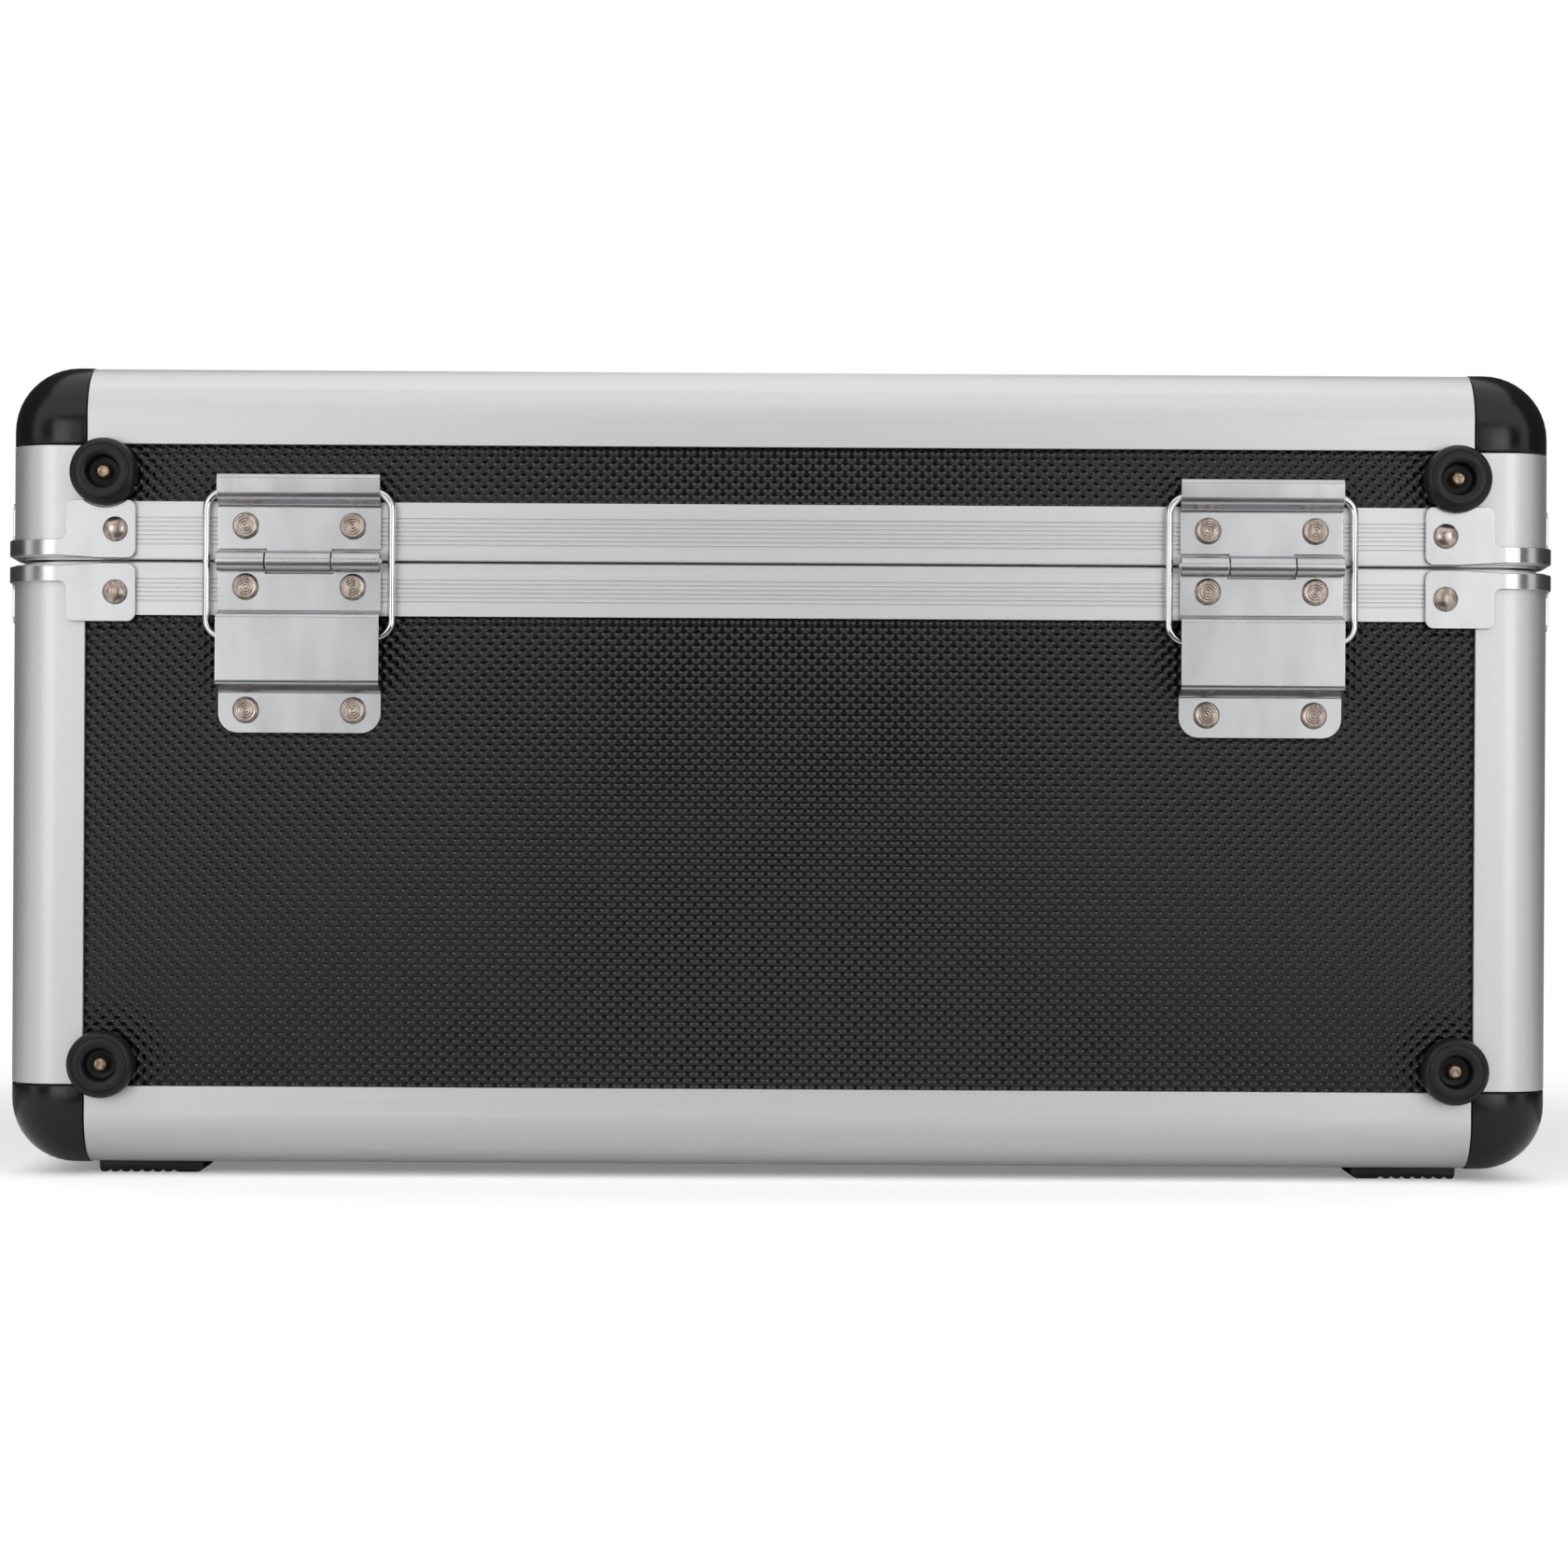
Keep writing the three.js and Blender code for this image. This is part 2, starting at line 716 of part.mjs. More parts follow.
function addHinges() {
  for (const side of [-1, 1]) {
    const name = side < 0 ? "left" : "right";
    const place = faceGroup("back", side * (caseLength / 2 - hingeIn));
    add(`hinge_upper_leaf_${name}`, upperLeaf(), steel, place);
    add(`hinge_lower_leaf_${name}`, lowerLeaf(), steel, place);
    add(`hinge_pin_${name}`, hingePin(), steel, place);
    add(`stay_ring_${name}`, stayRing(), steel, place);
  }
}

// The plate of a draw latch on the base, with two ears and their stub pins.
function latchPlate() {
  const middle = -latchPlateTop - latchPlateHeight / 2;
  const back = plate(latchPlateWidth, latchPlateHeight, sheet, clipTabRadius, 0, seat, middle);
  const earInner = leverHalfWidth + fit;
  const earOut = leverPivotOut + cheekRadius;
  const ears = [-1, 1].flatMap((side) => {
    const [x0, x1] = ordered(side * earInner, side * (earInner + cheekThickness));
    const [pin0, pin1] = ordered(side * (leverHalfWidth - cheekThickness), side * (earInner + seat));
    const bottom = -leverPivotDown - earLength / 2;
    return [
      block(x0, x1, seat, earOut, bottom, bottom + earLength),
      rodX(latchPinRadius, pin0, pin1, leverPivotOut, -leverPivotDown, rivetSides),
    ];
  });
  const rows = [-latchPlateTop - latchRivetEdge, latchRivetEdge - latchPlateTop - latchPlateHeight];
  const x = latchPlateWidth / 2 - latchRivetIn;
  const heads = [-x, x].flatMap((place) => rows.map((row) => [place, row]));
  const rivets = heads.map(([place, row]) => rivet(place, seat + sheet, row, latchRivetRadius));
  const depth = sheet / 2 - boardFace;
  const bosses = [-x, x].map((place) => {
    const boss = new THREE.CylinderGeometry(latchRivetRadius, latchRivetRadius, depth, rivetSides);
    return boss.translate(place, boardFace + seat + depth / 2, rows[1]);
  });
  return join(back, ...ears, ...rivets, ...bosses);
}

// The lever: a front plate with side cheeks that swing on the plate's stub pins.
function latchLever() {
  const front = leverFront;
  const inside = leverFront - sheet;
  const profile = polygon([
    [inside, -leverPivotDown - sheet],
    [inside, -leverBottom],
    [inside + leverLipOut, -leverBottom - leverLipDrop],
    [front + leverLipOut, -leverBottom - leverLipDrop],
    [front, -leverBottom],
    [front, -leverPivotDown - sheet],
  ]);
  const face = runAlongX(profile, 2 * leverHalfWidth);
  const cheekTop = -leverPivotDown;
  const cheekBottom = -clawPivotDown - cheekRadius;
  const back = leverPivotOut - cheekRadius + fit;
  const cheekProfile = polygon([
    [front, cheekTop - sheet],
    [leverPivotOut + cheekRadius * Math.SQRT1_2, cheekTop + cheekRadius * Math.SQRT1_2],
    [leverPivotOut, cheekTop + cheekRadius],
    [leverPivotOut - (cheekRadius - fit) * Math.SQRT1_2, cheekTop + cheekRadius * Math.SQRT1_2],
    [back, cheekTop],
    [back, cheekBottom],
    [flangeInner, cheekBottom - cheekRadius],
    [flangeInner, -leverBottom + cheekRadius],
    [inside, -leverBottom],
    [front, -leverBottom],
  ]);
  const cheek = runAlongX(cheekProfile, cheekThickness);
  const cheekX = leverHalfWidth - cheekThickness / 2;
  const cheeks = [-1, 1].map((side) => cheek.clone().translate(side * cheekX, 0, 0));
  const slotHalf = clawWidth / 2 + 2 * fit;
  return cut(
    join(face, ...cheeks),
    block(-slotHalf, slotHalf, flangeInner, front + overrun, -leverSlotDown, overrun),
    rodX(latchBore, -latchPlateWidth, latchPlateWidth, leverPivotOut, -leverPivotDown, rivetSides),
    rodX(latchBore, -latchPlateWidth, latchPlateWidth, clawPivotOut, -clawPivotDown, rivetSides),
  );
}

// The claw: a barrel in the lever's cheeks, a plate in front of the keeper, and a nose over its ledge.
function latchClaw() {
  const inner = keeperLedgeReach + fit;
  const outer = inner + sheet;
  const arm = block(-clawWidth / 2, clawWidth / 2, inner, outer, -clawPivotDown, clawNoseUp);
  const nose = block(-clawWidth / 2, clawWidth / 2, clawNoseInner, outer, clawNoseUp - sheet, clawNoseUp);
  const barrelHalf = leverHalfWidth - cheekThickness - fit;
  const barrel = rodX(clawBarrelRadius, -barrelHalf, barrelHalf, clawPivotOut, -clawPivotDown, rivetSides);
  const pinHalf = leverHalfWidth;
  const pin = rodX(latchPinRadius, -pinHalf, pinHalf, clawPivotOut, -clawPivotDown, rivetSides);
  return join(arm, nose, barrel, pin);
}

// The keeper on the lid's rim: a plate with a ledge that the claw pulls down.
function latchKeeper() {
  const middle = keeperBottom + keeperHeight / 2;
  const back = plate(latchPlateWidth, keeperHeight, sheet, clipTabRadius, 0, seat, middle);
  const half = clawWidth / 2 + sheet;
  const ledgeTop = clawNoseUp - sheet - fit;
  const ledge = block(-half, half, seat, keeperLedgeReach, keeperLedgeUp, ledgeTop);
  const x = latchPlateWidth / 2 - latchRivetIn;
  const rivets = [-x, x].map((place) => rivet(place, seat + sheet, middle, latchRivetRadius));
  return join(back, ledge, ...rivets);
}

function addLatches() {
  for (const side of [-1, 1]) {
    const name = side < 0 ? "left" : "right";
    const place = faceGroup("front", side * (caseLength / 2 - latchIn));
    add(`latch_plate_${name}`, latchPlate(), steel, place);
    add(`latch_lever_${name}`, latchLever(), steel, place);
    add(`latch_claw_${name}`, latchClaw(), steel, place);
    add(`latch_keeper_${name}`, latchKeeper(), steel, place);
  }
}

// A bracket on the front board: a plate, two rivets, and a lug with the pin that the handle swings on.
function handleBracket(side) {
  const outer = handleSpan / 2;
  const lug0 = outer + fit;
  const lug1 = lug0 + bracketLug;
  const plateInner = lug0 - bracketLugIn;
  const middle = plateInner + bracketWidth / 2;
  const out = boardFace + seat;
  const up = -bracketTop - bracketHeight / 2;
  const back = plate(bracketWidth, bracketHeight, bracketPlate, clipTabRadius, middle, out, up);
  const lugBottom = -handleDown - bracketLugHeight / 2;
  const lugOut = handlePivotOut + handleEyeRadius;
  const lug = block(lug0, lug1, out, lugOut, lugBottom, lugBottom + bracketLugHeight);
  const pin = rodX(handlePinRadius, outer - handleArm, lug1, handlePivotOut, -handleDown, boreSides);
  const rivetX = (lug1 + plateInner + bracketWidth) / 2;
  const rows = [-bracketTop - bracketRivetDown, bracketRivetDown - bracketTop - bracketHeight];
  const rivets = rows.map((row) => rivet(rivetX, out + bracketPlate, row));
  const bracket = join(back, lug, pin, ...rivets);
  return side < 0 ? faceOut(bracket.scale(-1, 1, 1)) : bracket;
}

// The grip: a moulded bar with an arm and an eye at each end.
function handleGrip() {
  const half = handleSpan / 2;
  const barLevel = -handleDown - handleDrop;
  const barRadius = Math.min(gripHeight, gripDepth) / 2 - fit;
  const bar = new RoundedBoxGeometry(handleSpan, gripDepth, gripHeight, ballSteps, barRadius);
  bar.translate(0, handlePivotOut, barLevel);
  const armDepth = handleEyeRadius * 2 - 2 * sheet;
  const arms = [-1, 1].flatMap((side) => {
    const [x0, x1] = ordered(side * (half - handleArm), side * half);
    const y0 = handlePivotOut - armDepth / 2;
    const y1 = handlePivotOut + armDepth / 2;
    return [
      block(x0, x1, y0, y1, barLevel + gripHeight / 4, -handleDown),
      rodX(handleEyeRadius, x0, x1, handlePivotOut, -handleDown, boreSides),
    ];
  });
  const corner = block(half - handleArm, half, -overrun, overrun, barLevel, barLevel + gripHeight / 2);
  corner.translate(0, handlePivotOut, 0);
  const otherCorner = corner.clone().translate(handleArm - handleSpan, 0, 0);
  const bore = rodX(handleBore, -handleSpan, handleSpan, handlePivotOut, -handleDown, boreSides);
  return cut(join(bar, corner, otherCorner, ...arms), bore);
}

function addHandle() {
  const place = faceGroup("front", 0);
  add("handle_bracket_left", handleBracket(-1), steel, place);
  add("handle_bracket_right", handleBracket(1), steel, place);
  add("handle_grip", handleGrip(), plastic, place);
}

const floorLevel = caseBottom + boardOuter;
const topLevel = caseTop - boardInner;
add("base_floor_panel", panel(floorLevel), board);
add("base_side_band", sideBand(caseBottom + profileRadius, seam - seamGap / 2 - skin - fit), board);
add("base_lining", lining(caseBottom + liningOuter, seam - baseRimHeight - fit), foam);
add("base_frame", baseFrame(), aluminium);
addEdges("bottom", caseBottom, 1);
addCaps("bottom", caseBottom, 1);
addClips("base", -1, false);
addBumpers("base", baseBumperUp);
addFeet();

add("lid_top_panel", panel(topLevel), board);
add("lid_side_band", sideBand(caseTop - profileRadius, seam + seamGap / 2 + skin + fit), board);
add("lid_lining", lining(caseTop - liningOuter, seam + lidRimHeight + fit), foam);
add("lid_frame", lidFrame(), aluminium);
addEdges("top", caseTop, -1);
addCaps("top", caseTop, -1);
addClips("lid", 1, true);
addBumpers("lid", lidBumperUp);

addHinges();
addLatches();
addHandle();

export default flightCase;
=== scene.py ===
# %% [markdown]
# # A flight case, dressed for the camera
# The frame holds every part of the case at its real size: boards, aluminium profiles, plastic corners,
# steel clips, hinges, latches and a handle. This lesson models a fine version of each part over its plain
# solid and gives it a finish. The solids could be shown as they are, but their round parts have few sides
# and their sheet metal has sharp edges, and both show in a close picture.

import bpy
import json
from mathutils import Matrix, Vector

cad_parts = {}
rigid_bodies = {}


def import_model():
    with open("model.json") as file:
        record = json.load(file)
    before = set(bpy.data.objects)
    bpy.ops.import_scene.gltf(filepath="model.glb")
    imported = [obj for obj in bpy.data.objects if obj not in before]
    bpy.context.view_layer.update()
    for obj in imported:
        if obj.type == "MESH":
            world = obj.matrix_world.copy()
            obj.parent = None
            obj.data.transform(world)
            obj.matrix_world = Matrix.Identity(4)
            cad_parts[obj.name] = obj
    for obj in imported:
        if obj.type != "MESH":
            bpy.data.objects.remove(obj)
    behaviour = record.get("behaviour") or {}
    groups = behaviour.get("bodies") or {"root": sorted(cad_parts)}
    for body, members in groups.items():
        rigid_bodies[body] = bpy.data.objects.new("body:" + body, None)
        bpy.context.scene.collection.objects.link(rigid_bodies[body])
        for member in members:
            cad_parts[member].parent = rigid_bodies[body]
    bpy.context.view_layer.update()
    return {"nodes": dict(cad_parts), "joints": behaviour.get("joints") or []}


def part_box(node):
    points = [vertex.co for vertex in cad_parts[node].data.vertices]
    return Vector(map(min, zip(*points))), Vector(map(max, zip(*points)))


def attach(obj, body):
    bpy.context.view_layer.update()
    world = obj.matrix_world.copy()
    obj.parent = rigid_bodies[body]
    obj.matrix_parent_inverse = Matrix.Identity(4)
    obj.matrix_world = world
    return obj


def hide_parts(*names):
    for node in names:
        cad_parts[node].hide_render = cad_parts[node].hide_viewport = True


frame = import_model()
print("nodes in the frame:", len(frame["nodes"]))

# %% [markdown]
# ## Places and sizes
# Everything is measured in metres, in the frame's own axes. The case's outer planes come from the boxes of
# its edge profiles and the seam from the lid's hinge, so that each fine part lands on its solid. The small
# sizes of the sheet metal are written once, in millimetres times a unit.

# %% Outer planes and shared sizes
import json
import math

import bmesh
import bpy
from mathutils import Matrix, Vector

mm = 0.001
edge_low, edge_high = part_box("bottom_edge_back")
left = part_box("bottom_edge_left")[0].x
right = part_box("bottom_edge_right")[1].x
back = edge_low.y
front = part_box("bottom_edge_front")[1].y
bottom = edge_low.z
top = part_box("top_edge_back")[1].z
leg = edge_high.z - edge_low.z
seam = next(joint["pos_m"][2] for joint in frame["joints"] if joint["name"] == "lid_hinge")
length = right - left
depth = front - back
centre = Vector((0, (back + front) / 2, (bottom + top) / 2))

round_radius = 13 * mm
profile_wall = 1.5 * mm
board_out = 1.8 * mm
board_thickness = 4 * mm
base_rim_height = 13.6 * mm
lid_rim_height = 15 * mm
post_start = 1.1 * mm
sheet = 1 * mm
off_face = 0.2 * mm
print(f"case {length:.3f} x {depth:.3f} x {top - bottom:.3f} m, seam at {seam:.3f} m")

# %% [markdown]
# ## Camera
# The picture was taken from straight in front of the hinge side, about a metre away and at half the case's
# height, with a long lens. A camera turned a quarter round X looks along +Y. Its small roll is that of the
# picture, in which the right side stands a little lower.

# %% Camera
camera_distance = 1.0
camera_side = 1.2 * mm
camera_height = seam - 55.3 * mm
camera_roll = math.radians(0.32)
lens_length = 91.2
bpy.ops.object.select_all(action="DESELECT")
bpy.ops.object.camera_add(
    location=(camera_side, back - camera_distance, camera_height),
    rotation=(math.pi / 2, -camera_roll, 0),
)
camera = bpy.context.object
camera.data.lens = lens_length
camera.data.sensor_width = 36
camera.data.clip_end = 50
bpy.context.scene.camera = camera
print("camera at", [round(value, 4) for value in camera.location])

# %% [markdown]
# ## Shader graphs
# A material in Blender is a graph of shader nodes, and so is the world. Building one takes the same steps
# each time: add a node, set its values and join its sockets. They could be clicked together in the shader
# editor, but here they are written once as helpers, and every finish below is made with them.

# %% Node helpers
def shader_of(material):
    return material.node_tree.nodes["Principled BSDF"]


def finish(name, colour, roughness, metallic=0.0, **settings):
    """A material with one Principled shader, and its plain values."""
    material = bpy.data.materials.new(name)
    material.use_nodes = True
    shader = shader_of(material)
    shader.inputs["Base Color"].default_value = (*colour, 1)
    shader.inputs["Roughness"].default_value = roughness
    shader.inputs["Metallic"].default_value = metallic
    for key, value in settings.items():
        shader.inputs[key.replace("_", " ")].default_value = value
    return material


def add_node(graph, kind, **values):
    """A node in a material or a world, with the values of its named sockets set."""
    node = graph.node_tree.nodes.new("ShaderNode" + kind)
    for key, value in values.items():
        node.inputs[key.replace("_", " ")].default_value = value
    return node


def join_sockets(graph, output, target):
    graph.node_tree.links.new(output, target)


def sums(graph, operation, first, second):
    """One sum of two values, each a socket or a number."""
    node = add_node(graph, "Math")
    node.operation = operation
    for socket, value in zip(node.inputs, (first, second)):
        if isinstance(value, (int, float)):
            socket.default_value = value
        else:
            join_sockets(graph, value, socket)
    return node.outputs[0]


def mix_shaders(graph, share, first, second, target):
    """Joins a mix of two shaders to a socket. A share of 0 is the first alone, and 1 the second."""
    mix = add_node(graph, "MixShader")
    join_sockets(graph, share, mix.inputs["Fac"])
    join_sockets(graph, first.outputs[0], mix.inputs[1])
    join_sockets(graph, second.outputs[0], mix.inputs[2])
    join_sockets(graph, mix.outputs[0], target)


print("node helpers ready")

# %% [markdown]
# ## Floor, world and lamps
# A case on white paper is lit by large soft boxes. A sun lamp with a wide angle stands in for the one
# overhead, because it lights the floor evenly however far it reaches. On each side of the camera stand two
# area lamps, of which the inner one is weaker, as a soft box is towards its edge. The world is a plain white
# surround to the camera and to anything that mirrors it, and a weaker grey fill to everything else. In the
# same way the paper is brighter to the camera than to the case, which keeps the background white.

# %% Floor
white = (1, 1, 1, 1)
paper_seen = (0.92, 0.92, 0.92, 1)
paper_glow = 0.22
bpy.ops.object.select_all(action="DESELECT")
bpy.ops.mesh.primitive_circle_add(vertices=64, radius=6, fill_type="NGON", location=(0, 0, 0))
floor = bpy.context.object
floor.name = "studio_floor"
paper = finish("paper", (0.8, 0.8, 0.8), 0.9, Specular_IOR_Level=0.0)
lit = add_node(paper, "BsdfDiffuse", Color=paper_seen)
glow = add_node(paper, "Emission", Color=white, Strength=paper_glow)
both = add_node(paper, "AddShader")
rays = add_node(paper, "LightPath")
paper_surface = paper.node_tree.nodes["Material Output"].inputs["Surface"]
join_sockets(paper, lit.outputs[0], both.inputs[0])
join_sockets(paper, glow.outputs[0], both.inputs[1])
mix_shaders(paper, rays.outputs["Is Camera Ray"], shader_of(paper), both, paper_surface)
floor.data.materials.append(paper)
print("floor:", floor.name)

# %% World
fill_strength = 0.35
world = bpy.data.worlds.new("surround")
bpy.context.scene.world = world
world.use_nodes = True
fill = world.node_tree.nodes["Background"]
fill.inputs["Color"].default_value = white
fill.inputs["Strength"].default_value = fill_strength
seen = add_node(world, "Background", Color=white, Strength=1)
rays = add_node(world, "LightPath")
world_surface = world.node_tree.nodes["World Output"].inputs["Surface"]
seen_or_mirrored = sums(world, "MAXIMUM", rays.outputs["Is Camera Ray"], rays.outputs["Is Glossy Ray"])
sharp_rays = sums(world, "MAXIMUM", seen_or_mirrored, rays.outputs["Is Transmission Ray"])
mix_shaders(world, sharp_rays, fill, seen, world_surface)
bpy.context.scene.view_settings.view_transform = "Standard"
print("world:", world.name)

# %% Lamps
overhead_tilt = math.radians(18)
overhead_spread = math.radians(105)
overhead_radiance = 0.56
box_distance = 0.95
box_up = 0.27
box_height = 0.52
bpy.ops.object.select_all(action="DESELECT")
bpy.ops.object.light_add(type="SUN", location=(0, 0, 1), rotation=(overhead_tilt, 0, 0))
overhead = bpy.context.object
overhead.name = "overhead_box"
overhead.data.angle = overhead_spread
overhead.data.energy = overhead_radiance * math.pi


def soft_box(name, x, width, radiance):
    """An area lamp of even brightness that faces the middle of the case's hinge side."""
    place = Vector((x, back - box_distance, box_up))
    bpy.ops.object.light_add(type="AREA", location=place)
    lamp = bpy.context.object
    lamp.name = name
    target = Vector((0, back, seam))
    lamp.rotation_euler = (target - place).to_track_quat("-Z", "Y").to_euler()
    lamp.data.shape = "RECTANGLE"
    lamp.data.size = width
    lamp.data.size_y = box_height
    lamp.data.energy = radiance * math.pi * width * box_height


soft_box("left_inner_box", -0.26, 0.28, 1.05)
soft_box("left_outer_box", -0.65, 0.5, 2.35)
soft_box("right_inner_box", 0.26, 0.28, 1.1)
soft_box("right_outer_box", 0.65, 0.5, 2.5)

# %% [markdown]
# Bright metal looks like what it mirrors, and in an all-white room it looks like white paint. So dark cards
# stand round the case as they do in a studio: one behind the camera, one at each side and three on the
# floor. One more hangs overhead like a ceiling. It is black, but it glows almost white though it is no lamp,
# and so it is a painted overhead reflection. They are there for reflections only, and neither the camera nor
# the soft light sees them.

# %% Dark cards
just_off_floor = 0.002


def card(name, width, height, place, azimuth, level, lean=90, glow_level=0.0):
    """A card that only reflections see, turned to this azimuth and leaning at this angle from flat."""
    bpy.ops.object.select_all(action="DESELECT")
    bpy.ops.mesh.primitive_plane_add(
        size=1, location=place, rotation=(math.radians(lean), 0, math.radians(azimuth)))
    sheet_card = bpy.context.object
    sheet_card.name = name
    sheet_card.scale = (width, height, 1)
    sheet_card.data.materials.append(finish(
        f"{name}_paint", (level, level, level), 1.0,
        Specular_IOR_Level=0.0, Emission_Color=white, Emission_Strength=glow_level))
    sheet_card.visible_camera = False
    sheet_card.visible_diffuse = False
    sheet_card.visible_shadow = False


card("front_card", 6.2, 1.0, (0, back - 1.45, 0.5), 0, 0.06)
# The ceiling card is black but glows almost white though it is no lamp: a painted reflection that only the
# metal's mirroring sees.
card("ceiling_card", 6, 6, (0, 0, 2.0), 0, 0.0, lean=0, glow_level=0.98)
card("low_card", 0.44, 1.34, (0, back - 0.77, just_off_floor), 0, 0.08, lean=0)
for side, way in (("left", -1), ("right", 1)):
    card(f"{side}_card", 2.09, 1.6, (way * 0.725, 0.575, 0.8), -way * 56.7, 0.06)
    card(f"{side}_floor_card", 1.0, 1.4, (way * 0.73, 0.6, just_off_floor), 0, 0.25, lean=0)

# %% [markdown]
# ## Finishes
# Each finish starts from one Principled shader. Noise in the piece's own coordinates varies its colour and
# roughness and feeds a bump, so that the pattern stays on the piece when it moves. A photograph could be
# wrapped round the parts instead, but noise has no seams and no picture to load.

# %% Finish helpers
def noise(material, stretch, detail=3.0, roughness=0.6):
    """Noise in object coordinates, with this many cycles a metre along X, Y and Z."""
    place = add_node(material, "TexCoord")
    mapping = add_node(material, "Mapping", Scale=stretch)
    grain = add_node(material, "TexNoise", Scale=1.0, Detail=detail, Roughness=roughness)
    join_sockets(material, place.outputs["Object"], mapping.inputs["Vector"])
    join_sockets(material, mapping.outputs["Vector"], grain.inputs["Vector"])
    return grain.outputs["Fac"]


def spread(material, value, low, high, start=0.3, stop=0.7):
    """The value between start and stop, spread from low to high."""
    ranged = add_node(material, "MapRange")
    ranged.inputs["From Min"].default_value = start
    ranged.inputs["From Max"].default_value = stop
    ranged.inputs["To Min"].default_value = low
    ranged.inputs["To Max"].default_value = high
    join_sockets(material, value, ranged.inputs["Value"])
    return ranged.outputs["Result"]


def plus_share(material, value, share, other):
    """The value, with a share of the other added."""
    return sums(material, "ADD", value, sums(material, "MULTIPLY", other, share))


def tint(material, value, dark, light, start=0.3, stop=0.7):
    """Colours the surface between two colours by a value."""
    ramp = add_node(material, "ValToRGB")
    ramp.color_ramp.elements[0].position = start
    ramp.color_ramp.elements[0].color = (*dark, 1)
    ramp.color_ramp.elements[1].position = stop
    ramp.color_ramp.elements[1].color = (*light, 1)
    join_sockets(material, value, ramp.inputs["Fac"])
    join_sockets(material, ramp.outputs["Color"], shader_of(material).inputs["Base Color"])


def bump(material, height, depth_of_bump, strength=1.0):
    """Tilts the surface by a height between 0 and 1, which stands for this depth in metres."""
    node = add_node(material, "Bump", Strength=strength, Distance=depth_of_bump)
    join_sockets(material, height, node.inputs["Height"])
    join_sockets(material, node.outputs["Normal"], shader_of(material).inputs["Normal"])


# %% [markdown]
# Satin aluminium is brushed along its length. A noise that is drawn out along one axis gives the fine lines,
# a second one gives broad streaks, and a fine even grain gives the speckle where the profile turns away.

# %% Aluminium
fine_cycles = 2600.0
streak_cycles = 420.0
long_cycles = 9.0
speckle_cycles = 3200.0
fine_share = 0.6
streak_share = 0.4
speckle_share = 0.5
brushed_depth = 0.010 * mm


def aluminium(name, along, relief=0.4):
    """Brushed aluminium whose lines run along the axes named."""
    material = finish(name, (0.67, 0.67, 0.68), 0.50, 1.0)
    fine = noise(material, [long_cycles if axis in along else fine_cycles for axis in "xyz"])
    streak = noise(material, [long_cycles / 3 if axis in along else streak_cycles for axis in "xyz"])
    speckle = noise(material, (speckle_cycles,) * 3, detail=1.0)
    lines = plus_share(material, sums(material, "MULTIPLY", fine, fine_share), streak_share, streak)
    tint(material, lines, (0.65, 0.65, 0.66), (0.69, 0.69, 0.70), 0.35, 0.65)
    rough = spread(material, lines, 0.46, 0.53)
    join_sockets(material, rough, shader_of(material).inputs["Roughness"])
    bump(material, plus_share(material, lines, speckle_share, speckle), brushed_depth, relief)
    return material


aluminium_x = aluminium("aluminium_along_x", "x")
aluminium_y = aluminium("aluminium_along_y", "y")
aluminium_z = aluminium("aluminium_along_z", "z")
aluminium_rim = aluminium("aluminium_rim", "xy", 0.12)

# %% [markdown]
# The pressed steel is bright zinc plate: almost a mirror, with cloudy stains and fine rubbed marks. The
# rivets are nickel with a warm cast, and the ones sunk in the bumpers are brassy.

# %% Plated metals
wave_cycles = 45.0
wave_share = 8.0
stain_along_z = 0.4
skin_along_z = 0.5
rub_cycles = (2200.0, 2200.0, 260.0)
rub_in_gloss = 0.016
rub_in_height = 0.02
cloud_start = 0.3
cloud_stop = 0.6


def plated(name, dark, light, smooth, rough, stain_cycles, pit_depth):
    """A plated metal with stains that change its colour and its gloss, and a fine uneven skin."""
    material = finish(name, light, smooth, 1.0)
    stain = noise(material, (stain_cycles, stain_cycles, stain_cycles * stain_along_z), detail=1.5)
    skin = noise(material, (stain_cycles, stain_cycles, stain_cycles * skin_along_z), detail=1.0)
    wave = noise(material, (wave_cycles,) * 3, detail=1.0)
    rub = noise(material, rub_cycles, detail=2.0)
    tint(material, stain, dark, light, cloud_start, cloud_stop)
    cloud = spread(material, stain, rough, smooth, cloud_start, cloud_stop)
    gloss = plus_share(material, cloud, rub_in_gloss, rub)
    join_sockets(material, gloss, shader_of(material).inputs["Roughness"])
    height = plus_share(material, skin, rub_in_height, rub)
    bump(material, plus_share(material, height, wave_share, wave), pit_depth)
    return material


zinc = plated("zinc_plate", (0.50, 0.51, 0.52), (0.56, 0.57, 0.58), 0.23, 0.29, 110.0, 0.007 * mm)
wire = plated("drawn_wire", (0.58, 0.58, 0.58), (0.76, 0.76, 0.76), 0.12, 0.20, 260.0, 0.006 * mm)
nickel = plated("nickel_rivet", (0.30, 0.23, 0.19), (0.54, 0.46, 0.41), 0.24, 0.40, 900.0, 0.05 * mm)
brass = plated("brassy_rivet", (0.16, 0.11, 0.07), (0.44, 0.34, 0.25), 0.34, 0.50, 1500.0, 0.16 * mm)

# %% [markdown]
# The corner caps are moulded in glossy black plastic, and the bumpers and feet are matt rubber. Both are
# nearly black, and what tells them apart is how sharply they mirror the lamps.

# %% Plastics
plastic_grit_cycles = 2400.0
patch_share = 2.0


def moulded(name, dark, light, smooth, rough, cycles, skin_depth, gloss):
    """A dark moulding with a slightly uneven skin and gloss."""
    material = finish(name, light, smooth, 0.0, Specular_IOR_Level=gloss)
    patch = noise(material, (cycles,) * 3, detail=5.0)
    grit = noise(material, (plastic_grit_cycles,) * 3, detail=2.0)
    tint(material, patch, dark, light)
    join_sockets(material, spread(material, patch, smooth, rough), shader_of(material).inputs["Roughness"])
    bump(material, plus_share(material, grit, patch_share, patch), skin_depth)
    return material


